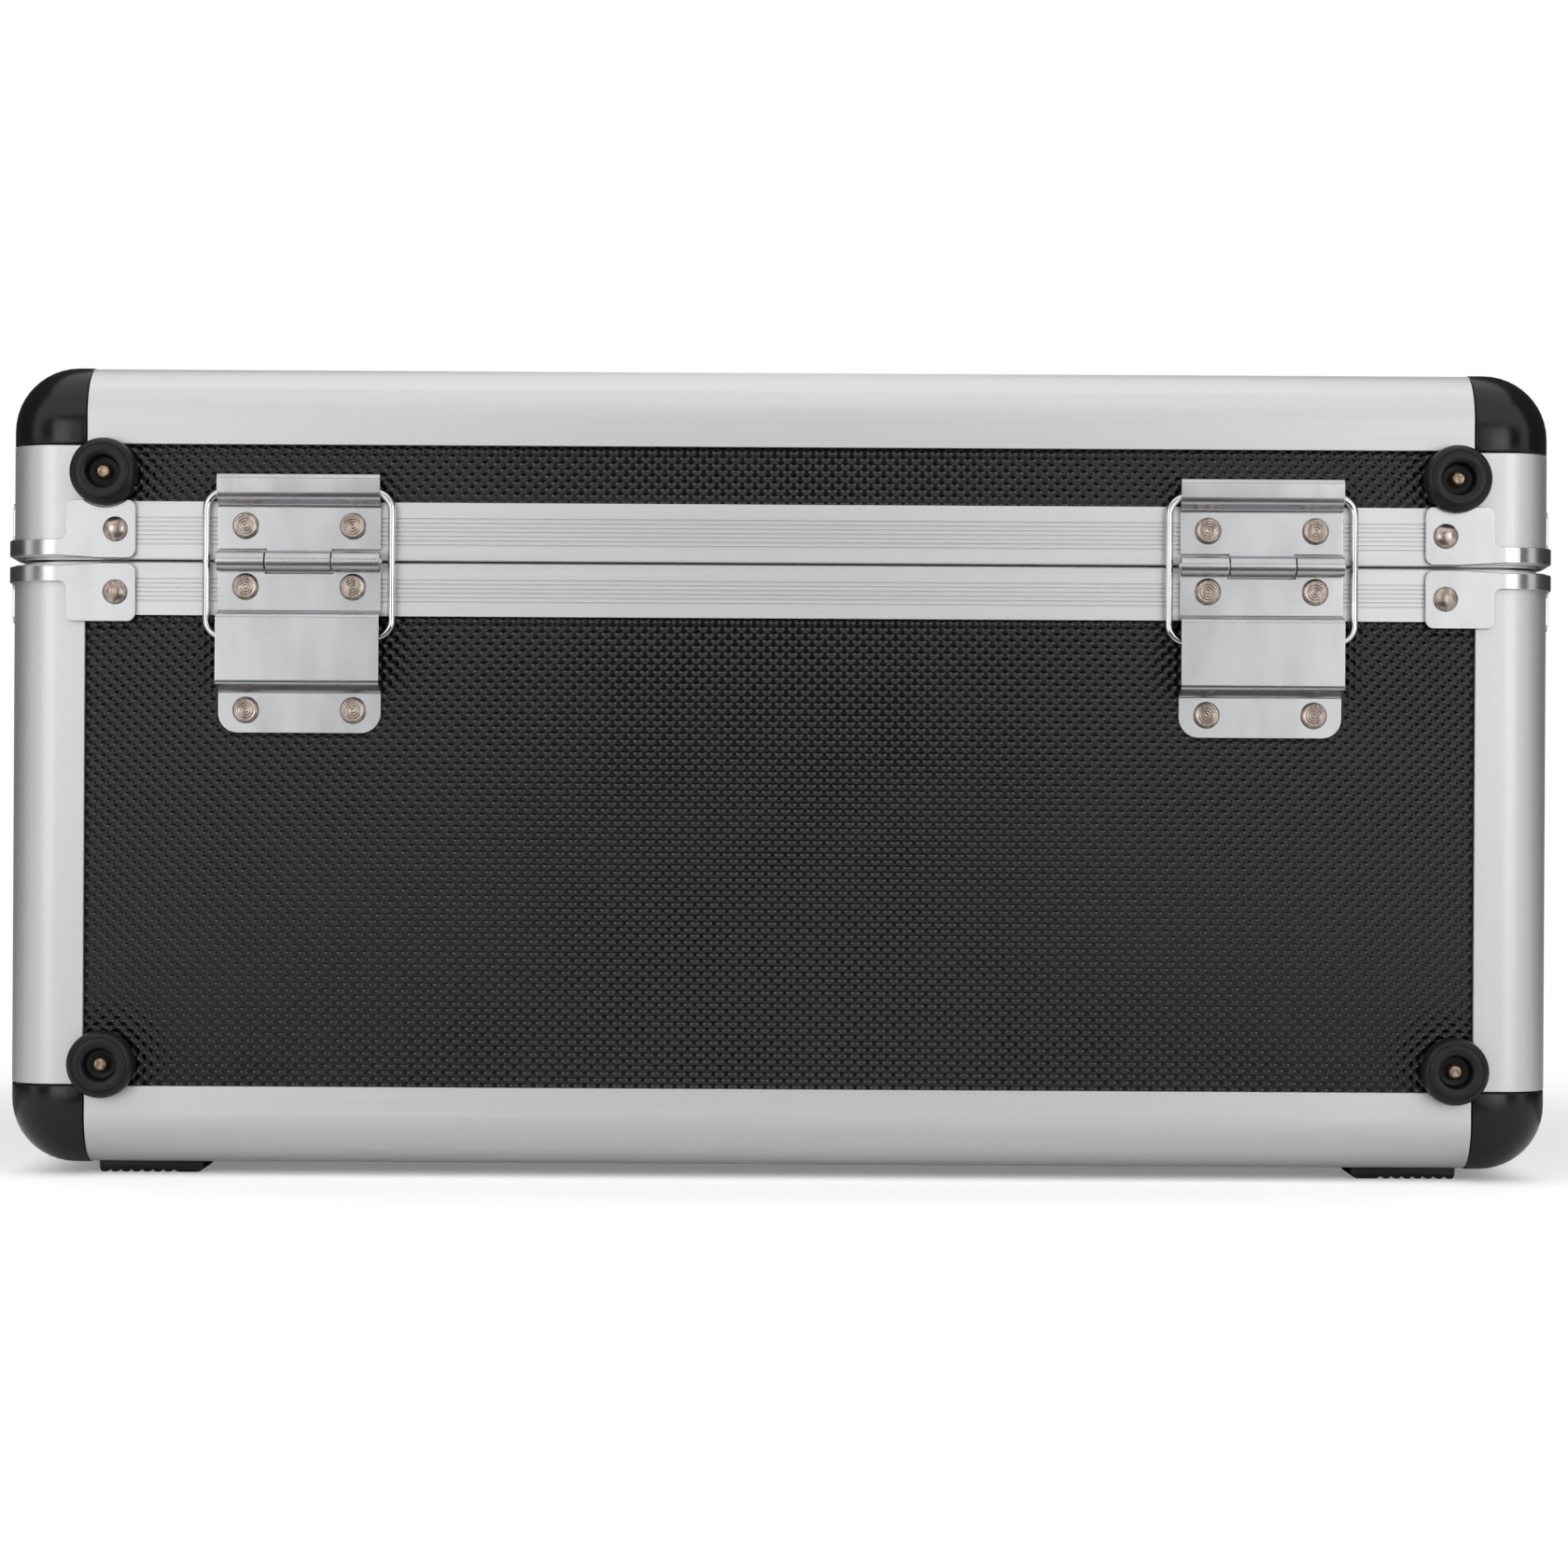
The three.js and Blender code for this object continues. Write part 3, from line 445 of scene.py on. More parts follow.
cap_plastic = moulded(
    "cap_plastic", (0.004, 0.004, 0.005), (0.007, 0.007, 0.008), 0.16, 0.26, 60.0, 0.02 * mm, 0.37)
rubber = moulded(
    "rubber", (0.004, 0.004, 0.004), (0.009, 0.009, 0.009), 0.36, 0.48, 220.0, 0.02 * mm, 0.32)
grip_plastic = moulded(
    "grip_plastic", (0.010, 0.010, 0.011), (0.018, 0.018, 0.019), 0.34, 0.48, 300.0, 0.04 * mm, 0.3)
foam = moulded(
    "foam", (0.018, 0.018, 0.020), (0.036, 0.036, 0.039), 0.85, 1.0, 900.0, 0.25 * mm, 0.1)

# %% [markdown]
# The boards have a black plastic skin, pressed with small oval pits that leave a flat net between them. The
# pits are close to cones, a little rounded, and stand in rows that run diagonally. So the pattern's
# coordinates are turned by 45 degrees, the fraction of each is taken, which repeats one cell for ever, and
# the cell is turned back. The distance from its middle then gives the depth.

# %% Patterned board
pit_pitch_x = 3.24 * mm
pit_pitch_y = 3.16 * mm
pit_half_x = 1.17 * mm
pit_half_y = 1.05 * mm
pit_depth = 0.39 * mm
pit_power = 1.3
board_worn_cycles = 40.0
board_grit_cycles = 2600.0
board_grit_share = 0.012
half_cell = (0.5, 0.5, 0.5)
diagonal_scale = (math.sqrt(0.5),) * 3


def vector_sums(material, operation, first, second=None):
    """One sum of two vectors, each a socket or three numbers."""
    node = add_node(material, "VectorMath")
    node.operation = operation
    for socket, value in zip(node.inputs, (first, second)):
        if isinstance(value, (tuple, list)):
            socket.default_value = value
        elif value is not None:
            join_sockets(material, value, socket)
    return node.outputs["Value" if operation == "LENGTH" else "Vector"]


def board_skin(name, turn):
    """The pressed skin of a board, with its pattern turned from the XY plane into the board's plane."""
    material = finish(name, (0.004, 0.004, 0.0045), 0.22, 0.0, Specular_IOR_Level=0.45)
    place = add_node(material, "TexCoord")
    flat = add_node(material, "Mapping", Rotation=turn)
    scaled = add_node(material, "Mapping", Scale=(2 / pit_pitch_x, 2 / pit_pitch_y, 0))
    turned = add_node(material, "Mapping", Rotation=(0, 0, math.pi / 4), Scale=diagonal_scale)
    join_sockets(material, place.outputs["Object"], flat.inputs["Vector"])
    join_sockets(material, flat.outputs["Vector"], scaled.inputs["Vector"])
    join_sockets(material, scaled.outputs["Vector"], turned.inputs["Vector"])
    shifted = vector_sums(material, "ADD", turned.outputs["Vector"], half_cell)
    fraction = vector_sums(material, "FRACTION", shifted)
    offset = vector_sums(material, "SUBTRACT", fraction, half_cell)
    straight = add_node(material, "Mapping", Rotation=(0, 0, -math.pi / 4), Scale=diagonal_scale)
    join_sockets(material, offset, straight.inputs["Vector"])
    oval = (pit_pitch_x / pit_half_x, pit_pitch_y / pit_half_y, 0)
    stretched = vector_sums(material, "MULTIPLY", straight.outputs["Vector"], oval)
    reach = vector_sums(material, "LENGTH", stretched)
    bowl = sums(material, "POWER", sums(material, "MINIMUM", reach, 1.0), pit_power)
    worn = noise(material, (board_worn_cycles,) * 3, detail=4.0)
    grit = noise(material, (board_grit_cycles,) * 3, detail=2.0)
    tint(material, worn, (0.002, 0.002, 0.0025), (0.004, 0.004, 0.0045))
    join_sockets(material, spread(material, worn, 0.16, 0.24), shader_of(material).inputs["Roughness"])
    bump(material, plus_share(material, bowl, board_grit_share, grit), pit_depth)
    return material


skin_facing_y = board_skin("board_skin_facing_y", (math.pi / 2, 0, 0))
skin_facing_x = board_skin("board_skin_facing_x", (0, math.pi / 2, 0))
skin_facing_z = board_skin("board_skin_facing_z", (0, 0, 0))
print("materials:", len(bpy.data.materials))

# %% [markdown]
# ## Modelling by hand, in code
# These helpers are the steps of modelling by hand: select one piece, enter edit mode, pick vertices or edges
# by their place, draw a line point by point, push a selection along, and apply a modifier.

# %% Modelling helpers
def alone(piece):
    """Selects this piece and nothing else."""
    bpy.ops.object.select_all(action="DESELECT")
    piece.select_set(True)
    bpy.context.view_layer.objects.active = piece


def edit(piece):
    alone(piece)
    bpy.ops.object.mode_set(mode="EDIT")


def stop_editing():
    bpy.ops.object.mode_set(mode="OBJECT")


def choose(kind, test):
    """In edit mode, selects the vertices, edges or faces whose middle passes the test."""
    bpy.ops.mesh.select_mode(type=kind)
    bpy.ops.mesh.select_all(action="DESELECT")
    piece = bpy.context.object
    mesh = bmesh.from_edit_mesh(piece.data)
    parts = {"VERT": mesh.verts, "EDGE": mesh.edges, "FACE": mesh.faces}[kind]
    for part in parts:
        corners = [part] if kind == "VERT" else list(part.verts)
        if test(sum((corner.co for corner in corners), Vector()) / len(corners)):
            part.select_set(True)
    bmesh.update_edit_mesh(piece.data)


def push(way):
    """Extrudes what is selected along a vector."""
    bpy.ops.mesh.extrude_region_move(TRANSFORM_OT_translate={"value": way})


def turn(angle, steps, middle, axis):
    """Spins what is selected round an axis, anticlockwise as seen from the axis's tip."""
    bpy.ops.mesh.spin(steps=steps, angle=-angle, center=middle, axis=axis)


def merge_doubles():
    bpy.ops.mesh.select_all(action="SELECT")
    bpy.ops.mesh.remove_doubles(threshold=mm / 200)


def face_outwards():
    bpy.ops.mesh.select_all(action="SELECT")
    bpy.ops.mesh.normals_make_consistent(inside=False)


def begin(name):
    """Names the primitive that was just added, puts its place into its mesh and enters edit mode."""
    piece = bpy.context.object
    piece.name = name
    piece.data.name = name
    bpy.ops.object.transform_apply(location=True, rotation=True, scale=True)
    bpy.ops.object.mode_set(mode="EDIT")
    return piece


def trace(name, points):
    """Draws a line through the points, and leaves it in edit mode."""
    points = [Vector(point) for point in points]
    bpy.ops.object.select_all(action="DESELECT")
    bpy.ops.mesh.primitive_plane_add(size=mm, location=points[0])
    piece = begin(name)
    bpy.ops.mesh.select_mode(type="VERT")
    bpy.ops.mesh.select_all(action="SELECT")
    bpy.ops.mesh.merge(type="CENTER")
    for here, there in zip(points, points[1:]):
        bpy.ops.mesh.extrude_vertices_move(TRANSFORM_OT_translate={"value": there - here})
    return piece


def arc(middle, radius, start, stop, steps):
    """Points (across, up) on an arc, between two angles in degrees."""
    angles = [math.radians(start + (stop - start) * step / steps) for step in range(steps + 1)]
    return [(middle[0] + radius * math.cos(a), middle[1] + radius * math.sin(a)) for a in angles]


def modify(piece, kind, **settings):
    """Adds a modifier with these settings and applies it."""
    alone(piece)
    bpy.ops.object.modifier_add(type=kind)
    modifier = piece.modifiers[-1]
    for key, value in settings.items():
        setattr(modifier, key, value)
    bpy.ops.object.modifier_apply(modifier=modifier.name)


def thicken(piece, thickness, side):
    """Gives a sheet its thickness: side is 1 along its normals, -1 against them, and 0 half each way."""
    modify(piece, "SOLIDIFY", thickness=thickness, offset=side, use_even_offset=True)


def round_edges(piece, width, segments=2, angle=40):
    """Bevels the edges that are sharper than this angle in degrees."""
    sharp_angle = math.radians(angle)
    modify(piece, "BEVEL", width=width, segments=segments, limit_method="ANGLE", angle_limit=sharp_angle)


def set_down(piece, place):
    """Moves a piece to its place and keeps its object at the origin."""
    piece.matrix_world = place
    alone(piece)
    bpy.ops.object.transform_apply(location=True, rotation=True, scale=True)
    return piece


def copy_of(piece, name, place=Matrix.Identity(4)):
    """A copy with a mesh of its own, set down at a place."""
    alone(piece)
    bpy.ops.object.duplicate(linked=False)
    copy = bpy.context.object
    copy.name = name
    copy.data.name = name
    return set_down(copy, place)


def discard(piece):
    bpy.data.objects.remove(piece)


def join(first, *others):
    """Joins pieces into the first."""
    alone(first)
    for other in others:
        other.select_set(True)
    bpy.ops.object.join()
    return first


def close_line():
    """Joins the two ends of the line that is being drawn."""
    mesh = bmesh.from_edit_mesh(bpy.context.object.data)
    for vertex in mesh.verts:
        vertex.select_set(len(vertex.link_edges) < 2)
    bmesh.update_edit_mesh(bpy.context.object.data)
    bpy.ops.mesh.edge_face_add()


def lathe(name, outline, steps=32):
    """Turns an outline (radius, height) round the Z axis."""
    piece = trace(name, [(radius, 0, height) for radius, height in outline])
    bpy.ops.mesh.select_all(action="SELECT")
    bpy.ops.mesh.spin(steps=steps, angle=2 * math.pi, center=(0, 0, 0), axis=(0, 0, 1))
    merge_doubles()
    face_outwards()
    stop_editing()
    return piece


def rounded(line, radius, steps=4):
    """The line's points, with each inner corner eased over this length to both sides."""
    points = [Vector(point) for point in line]
    eased = [points[0]]
    for before, corner, after in zip(points, points[1:], points[2:]):
        reach_in = min(radius, (before - corner).length * 0.49)
        reach_out = min(radius, (after - corner).length * 0.49)
        start = corner + (before - corner).normalized() * reach_in
        end = corner + (after - corner).normalized() * reach_out
        for step in range(steps + 1):
            t = step / steps
            eased.append(start * (1 - t) ** 2 + corner * 2 * t * (1 - t) + end * t * t)
    eased.append(points[-1])
    return eased


def sweep_loop(start, first, second, width, height, radius, steps):
    """Carries what is selected round a rounded rectangle, and closes the loop."""
    here = Vector(start)
    along = Vector(first)
    inward = Vector(second)
    axis = along.cross(inward)
    for run in (width, height, width, height):
        push(along * (run - 2 * radius))
        here += along * (run - 2 * radius)
        turn(math.pi / 2, steps, here + inward * radius, axis)
        here += (along + inward) * radius
        along, inward = inward, -along
    merge_doubles()
    face_outwards()


def dress(piece, material, body, slot, *nodes, smooth=38, flat=False):
    """Shades a finished piece, gives it its material and body, and hides the solids that it stands for."""
    alone(piece)
    bpy.ops.object.shade_smooth_by_angle(angle=math.radians(smooth))
    if flat:
        modify(piece, "WEIGHTED_NORMAL", weight=90, keep_sharp=True)
    piece.data.materials.clear()
    piece.data.materials.append(material)
    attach(piece, body)
    if nodes:
        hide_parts(*nodes)
    return piece


# %% Places
def on_face(side, x):
    """The place of a piece that is drawn with +Y outwards and Z = 0 at the seam."""
    if side == "back":
        return Matrix.Translation((x, back, seam)) @ Matrix.Rotation(math.pi, 4, "Z")
    return Matrix.Translation((x, front, seam))


corners = {
    "back_left": (-1, -1),
    "back_right": (1, -1),
    "front_left": (-1, 1),
    "front_right": (1, 1),
}


def in_corner(corner, level, up):
    """The place of a piece drawn inwards from a corner, alike along X and Y. It is never mirrored."""
    across, along = corners[corner]
    first = Vector((-across, 0, 0))
    second = Vector((0, -along, 0))
    third = Vector((0, 0, up))
    if first.cross(second).dot(third) < 0:
        first, second = second, first
    place = Matrix((first, second, third)).transposed().to_4x4()
    place.translation = (right if across > 0 else left, front if along > 0 else back, level)
    return place


print("helpers ready, corners:", list(corners))

# %% [markdown]
# ## Boards
# A board is a sheet with a pressed skin. Modelling each pit by hand would take weeks, and a bump alone
# leaves the mesh flat. So a grid is turned by 45 degrees, stretched to the pitch of the pits, cut to the
# board's window with four bisects, and poked, which sinks the middle of every cell. The material's bump
# rounds the pits.

# %% Board maker
board_relief = 0.2 * mm
board_cover = 1 * mm
board_margin = 6 * mm


def board(name, width, height):
    """A board that shows a window of this size, drawn in the XY plane with its pattern towards +Z."""
    cell = pit_pitch_y / math.sqrt(2)
    count = math.ceil((width + height) / math.sqrt(2) / cell) + 4
    bpy.ops.object.select_all(action="DESELECT")
    bpy.ops.mesh.primitive_grid_add(x_subdivisions=count, y_subdivisions=count, size=count * cell)
    piece = begin(name)
    bpy.ops.mesh.select_all(action="SELECT")
    bpy.ops.transform.rotate(value=math.pi / 4, orient_axis="Z", center_override=(0, 0, 0))
    bpy.ops.transform.resize(value=(pit_pitch_x / pit_pitch_y, 1, 1), center_override=(0, 0, 0))
    across = width / 2 + board_cover
    along = height / 2 + board_cover
    for way, reach in (((1, 0, 0), across), ((-1, 0, 0), across), ((0, 1, 0), along), ((0, -1, 0), along)):
        bpy.ops.mesh.select_all(action="SELECT")
        bpy.ops.mesh.bisect(plane_co=Vector(way) * reach, plane_no=way, clear_outer=True)
    bpy.ops.mesh.select_all(action="SELECT")
    bpy.ops.mesh.poke(offset=-board_relief)
    bpy.ops.mesh.select_mode(type="EDGE")
    bpy.ops.mesh.select_all(action="DESELECT")
    bpy.ops.mesh.select_non_manifold()
    bpy.ops.mesh.extrude_region_move()
    stretch = (1 + board_margin / across, 1 + board_margin / along, 1)
    bpy.ops.transform.resize(value=stretch, center_override=(0, 0, 0))
    push((0, 0, -board_thickness))
    bpy.ops.mesh.edge_face_add()
    face_outwards()
    stop_editing()
    return piece


base_low = bottom + leg
base_high = seam - base_rim_height
lid_low = seam + lid_rim_height
lid_high = top - leg
facing = {
    "back": Matrix.Rotation(math.pi / 2, 4, "X"),
    "front": Matrix.Rotation(math.pi, 4, "Z") @ Matrix.Rotation(math.pi / 2, 4, "X"),
    "left": Matrix.Rotation(-math.pi / 2, 4, "Z") @ Matrix.Rotation(math.pi / 2, 4, "X"),
    "right": Matrix.Rotation(math.pi / 2, 4, "Z") @ Matrix.Rotation(math.pi / 2, 4, "X"),
}
board_places = {
    "back": Vector((0, back + board_out, 0)),
    "front": Vector((0, front - board_out, 0)),
    "left": Vector((left + board_out, centre.y, 0)),
    "right": Vector((right - board_out, centre.y, 0)),
}

# %% Side boards
for half, low, high in (("base", base_low, base_high), ("lid", lid_low, lid_high)):
    for side, place in board_places.items():
        width = (length if side in ("back", "front") else depth) - 2 * leg
        piece = board(f"{half}_board_{side}", width, high - low)
        level = Vector((0, 0, (low + high) / 2))
        set_down(piece, Matrix.Translation(place + level) @ facing[side])
        skin = skin_facing_y if side in ("back", "front") else skin_facing_x
        dress(piece, skin, half, "board", f"{half}_side_band", smooth=60)
    print(half, "boards:", len(piece.data.polygons), "faces on the last")

# %% Floor and top boards
floor_board = board("base_floor_board", length - 2 * leg, depth - 2 * leg)
turn_over = Matrix.Rotation(math.pi, 4, "X")
set_down(floor_board, Matrix.Translation((0, centre.y, bottom + board_out)) @ turn_over)
dress(floor_board, skin_facing_z, "base", "board", "base_floor_panel", smooth=60)
top_board = board("lid_top_board", length - 2 * leg, depth - 2 * leg)
set_down(top_board, Matrix.Translation((0, centre.y, top - board_out)))
dress(top_board, skin_facing_z, "lid", "board", "lid_top_panel", smooth=60)
print("top board faces:", len(top_board.data.polygons))

# %% [markdown]
# ## Edge profiles
# Each edge is a length of aluminium with two legs and a quarter-round between them. Its outer line is drawn
# once, pushed along its length and thickened inwards. A small bevel on the ends of the legs catches the
# light, as the real extrusion's edges do.

# %% Edge profiles
joint_gap = 0.3 * mm
edge_bevel = 0.3 * mm
round_steps = 18


def profile_line():
    """Points (in from one face, in from the other) along the profile's outer side."""
    middle = (round_radius, round_radius)
    return [(leg, 0), *arc(middle, round_radius, 270, 180, round_steps), (0, leg)]


def cut_length(name, line, way):
    """A length of profile: its outer line pushed along, thickened inwards, and its edges eased."""
    piece = trace(name, line)
    bpy.ops.mesh.select_all(action="SELECT")
    push(way)
    face_outwards()
    stop_editing()
    thicken(piece, profile_wall, -1)
    round_edges(piece, edge_bevel)
    return piece


def edge_profile(name, run):
    """A bottom edge along X, drawn with +Y inwards and +Z up from the case's corner line."""
    line = [(-run / 2, inward, up) for inward, up in reversed(profile_line())]
    return cut_length(name, line, (run, 0, 0))


def edge_place(level, side):
    """A quarter or half turn that takes the bottom back edge to another edge, without mirroring it."""
    turns = {"back": 0, "right": math.pi / 2, "front": math.pi, "left": -math.pi / 2}
    reach = depth / 2 if side in ("back", "front") else length / 2
    at_bottom = Matrix.Rotation(turns[side], 4, "Z") @ Matrix.Translation((0, -reach, bottom - centre.z))
    if level == "top":
        across = "Y" if side in ("back", "front") else "X"
        at_bottom = Matrix.Rotation(math.pi, 4, across) @ at_bottom
    return Matrix.Translation(centre) @ at_bottom


long_edge = edge_profile("long_edge", length - 2 * (leg + joint_gap))
short_edge = edge_profile("short_edge", depth - 2 * (leg + joint_gap))
for level, body in (("bottom", "base"), ("top", "lid")):
    for side in ("back", "front", "left", "right"):
        runs_x = side in ("back", "front")
        pattern = long_edge if runs_x else short_edge
        piece = copy_of(pattern, f"{level}_profile_{side}", edge_place(level, side))
        brushed = aluminium_x if runs_x else aluminium_y
        dress(piece, brushed, body, "aluminium", f"{level}_edge_{side}", smooth=30, flat=True)
discard(long_edge)
discard(short_edge)
print("edge profiles made")

# %% [markdown]
# ## Rims and posts
# The two halves meet in channel profiles that hold the boards and carry the tongue and groove of the seam.
# Their faces have fine grooves, which are real here, because a close camera sees each of them. The section
# is drawn once and carried round the case with pushes and quarter spins. A rounded cutter then opens the
# lips at the seam round each corner, where a real profile is notched so that it can be bent. The corner
# posts are a piece of rounded angle each, lapped over the rim as on the real case.

# %% Rims
groove_width = 0.42 * mm
groove_depth = 0.28 * mm
rim_inset = 0.1 * mm
corner_steps = 8


def grooved(start, stop, grooves):
    """A line at the rim's outer face from one height to another, with grooves at these heights."""
    way = 1 if stop > start else -1
    line = [(rim_inset, start)]
    for height in sorted(grooves, reverse=way < 0):
        for step, depth_in in ((-0.5, 0), (-0.3, 1), (0.3, 1), (0.5, 0)):
            line.append((rim_inset + depth_in * groove_depth, height + way * step * groove_width))
    line.append((rim_inset, stop))
    return line


block_radius = 10.4 * mm
block_size = 40 * mm
disc_radius = 17 * mm
disc_depth = 1.9 * mm


def open_corner(piece, across, along):
    """Cuts the lips away round one corner with a disc, of which a rounded block keeps the inner part."""
    axis_x = across * (length / 2 - round_radius)
    axis_y = centre.y + along * (depth / 2 - round_radius)
    axis = Vector((axis_x, axis_y, seam))
    bpy.ops.object.select_all(action="DESELECT")
    bpy.ops.mesh.primitive_cylinder_add(vertices=40, radius=disc_radius, depth=disc_depth, location=axis)
    disc = bpy.context.object
    inwards = block_radius - block_size / 2
    place = axis + Vector((across * inwards, along * inwards, 0))
    bpy.ops.mesh.primitive_cube_add(size=block_size, location=place)
    block = bpy.context.object
    edit(block)
    choose("EDGE", lambda point: point.x * across > mm and point.y * along > mm)
    bpy.ops.mesh.bevel(offset=block_radius, segments=12, affect="EDGES")
    stop_editing()
    modify(disc, "BOOLEAN", object=block, operation="DIFFERENCE", solver="EXACT")
    modify(piece, "BOOLEAN", object=disc, operation="DIFFERENCE", solver="EXACT")
    discard(disc)
    discard(block)


def rim(name, section):
    """Carries a closed section (inset, height above the seam) round the case."""
    start = Vector((left + round_radius, back, seam))
    piece = trace(name, [start + Vector((0, inset, height)) for inset, height in section])
    close_line()
    bpy.ops.mesh.select_all(action="SELECT")
    sweep_loop(start, (1, 0, 0), (0, 1, 0), length, depth, round_radius, corner_steps)
    stop_editing()
    for across, along in corners.values():
        open_corner(piece, across, along)
    return piece


base_grooves = [(-4.5 - 1.1 * step) * mm for step in range(6)]
lid_grooves = [(4.3 + 1.1 * step) * mm for step in range(7)]
base_section = grooved(-base_rim_height, -0.6 * mm, base_grooves)
base_section += [(inset * mm, height * mm) for inset, height in (
    (0.4, -0.3), (7.6, -0.3), (7.6, 3.8), (7.8, 4.0), (8.6, 4.0), (8.8, 3.8), (8.8, -1.8), (7.3, -1.8),
    (7.3, -13.6), (6.1, -13.6), (6.1, -1.8), (1.5, -1.8), (1.5, -13.6))]
lid_section = grooved(lid_rim_height, 0.6 * mm, lid_grooves)
lid_section += [(inset * mm, height * mm) for inset, height in (
    (0.4, 0.3), (7.3, 0.3), (7.3, 15), (6.1, 15), (6.1, 1.8), (1.5, 1.8), (1.5, 15))]
base_rim = rim("base_rim", base_section)
dress(base_rim, aluminium_rim, "base", "aluminium", "base_frame", smooth=30)
lid_rim = rim("lid_rim", lid_section)
dress(lid_rim, aluminium_rim, "lid", "aluminium", "lid_frame", smooth=30)
print("rim faces:", len(base_rim.data.polygons), len(lid_rim.data.polygons))

# %% Posts
def post(name, height):
    """A corner post from the seam, drawn inwards from the corner line with +Z away from the seam."""
    line = [(first, second, post_start) for first, second in profile_line()]
    return cut_length(name, line, (0, 0, height))


for half, up, reach in (("base", -1, seam - bottom), ("lid", 1, top - seam)):
    pattern = post("post_pattern", reach - leg - joint_gap - post_start)
    for corner in corners:
        piece = copy_of(pattern, f"{half}_post_{corner}", in_corner(corner, seam, up))
        dress(piece, aluminium_z, half, "aluminium", f"{half}_frame", smooth=30, flat=True)
    discard(pattern)
print("posts made")

# %% [markdown]
# ## Corner caps
# A moulded cap closes each corner where three profiles meet. It starts as a cube. Bevelling the three edges
# at one corner with the same radius gives the ball corner in one step, and with the three inner faces
# deleted and the rest thickened inwards it is a shell.

# %% Caps
cap_radius = 16 * mm
cap_proud = 0.5 * mm
cap_wall = 2 * mm
cap_bevel = 0.35 * mm
cap_size = leg + cap_proud


def cap(name):
    """A cap drawn inwards from the case's corner, alike along X, Y and Z."""
    middle = cap_size / 2 - cap_proud
    bpy.ops.object.select_all(action="DESELECT")
    bpy.ops.mesh.primitive_cube_add(size=cap_size, location=(middle, middle, middle))
    piece = begin(name)
    choose("EDGE", lambda point: sum(value < 0 for value in point) == 2)
    bpy.ops.mesh.bevel(offset=cap_radius + cap_proud, segments=12, affect="EDGES")
    choose("FACE", lambda point: max(point) > leg - mm / 100)
    bpy.ops.mesh.delete(type="FACE")
    stop_editing()
    thicken(piece, cap_wall, -1)
    round_edges(piece, cap_bevel, segments=3, angle=50)
    print(name, "has", len(piece.data.polygons), "faces")
    return piece


pattern = cap("cap_pattern")
for level, up, height, body in (("bottom", 1, bottom, "base"), ("top", -1, top, "lid")):
    for corner in corners:
        piece = copy_of(pattern, f"{level}_moulded_cap_{corner}", in_corner(corner, height, up))
        dress(piece, cap_plastic, body, "cap_plastic", f"{level}_cap_{corner}", smooth=50)
discard(pattern)

# %% [markdown]
# ## Rivets
# A rivet head is a turned shape, so its outline is drawn once and spun. The heads on the clips are low
# domes. Those on the hinges are dished and ringed by the riveting tool, those in the bumpers are small and
# crumpled, and those on the latches and the handle are flat domes.

# %% Rivets
rivet_twist = 2.1
dome_outline = [(0, 1.6), (0.8, 1.56), (1.55, 1.41), (2.25, 1.1), (2.8, 0.68), (3.15, 0.22), (3.2, -0.3)]
dished_outline = [
    (0, 0.9), (0.35, 0.88), (0.55, 1.02), (0.75, 0.9), (1.05, 0.92), (1.25, 1.08), (1.45, 0.94),
    (1.75, 0.98), (1.95, 1.16), (2.15, 1.04), (2.4, 1.1), (2.6, 1.18), (2.85, 1.08), (3.1, 0.78),
    (3.3, 0.4), (3.4, 0.1), (3.4, -0.3)]
crumpled_outline = [(0, 1.35), (0.5, 1.3), (0.95, 1.5), (1.35, 1.4), (1.75, 1.0), (2.0, 0.45), (2.05, -1.5)]
flat_outline = [
    (0, 1.63), (0.5, 1.65), (0.9, 1.74), (1.5, 1.78), (2.0, 1.66), (2.45, 1.34), (2.85, 0.9), (3.08, 0.5),
    (3.15, 0.1), (3.15, -0.3)]


def in_mm(outline):
    return [(radius * mm, height * mm) for radius, height in outline]


dome_rivet = lathe("dome_rivet", in_mm(dome_outline))
dished_rivet = lathe("dished_rivet", in_mm(dished_outline))
crumpled_rivet = lathe("crumpled_rivet", in_mm(crumpled_outline), 24)
flat_rivet = lathe("flat_rivet", in_mm(flat_outline))
out_of_face = Matrix.Rotation(-math.pi / 2, 4, "X")
rivet_patterns = [dome_rivet, dished_rivet, crumpled_rivet, flat_rivet]


def rivet(pattern, name, place, body, material, number, *nodes):
    """One rivet head, turned a little so that no two are alike."""
    spin = Matrix.Rotation(number * rivet_twist, 4, "Z")
    piece = copy_of(pattern, name, place @ spin)
    return dress(piece, material, body, "zinc_steel", *nodes, smooth=60)


# %% [markdown]
# ## Corner clips
# A pressed clip wraps each corner at the seam and ties post and rim together. Half of it is an L-shaped
# plate whose narrow end is spun round the post's curve as far as the diagonal. The other half is its mirror
# image, so the joined mesh gets its normals recalculated before the sheet gets its thickness. The lid's clip
# at the back left is cut out round the rubber bumper. The cutter of the one at the back right lands in the
# corner, and mirroring has turned its faces inwards, so it leaves only fine edges in the bend. That clip
# runs on behind its bumper, where the rubber hides it.

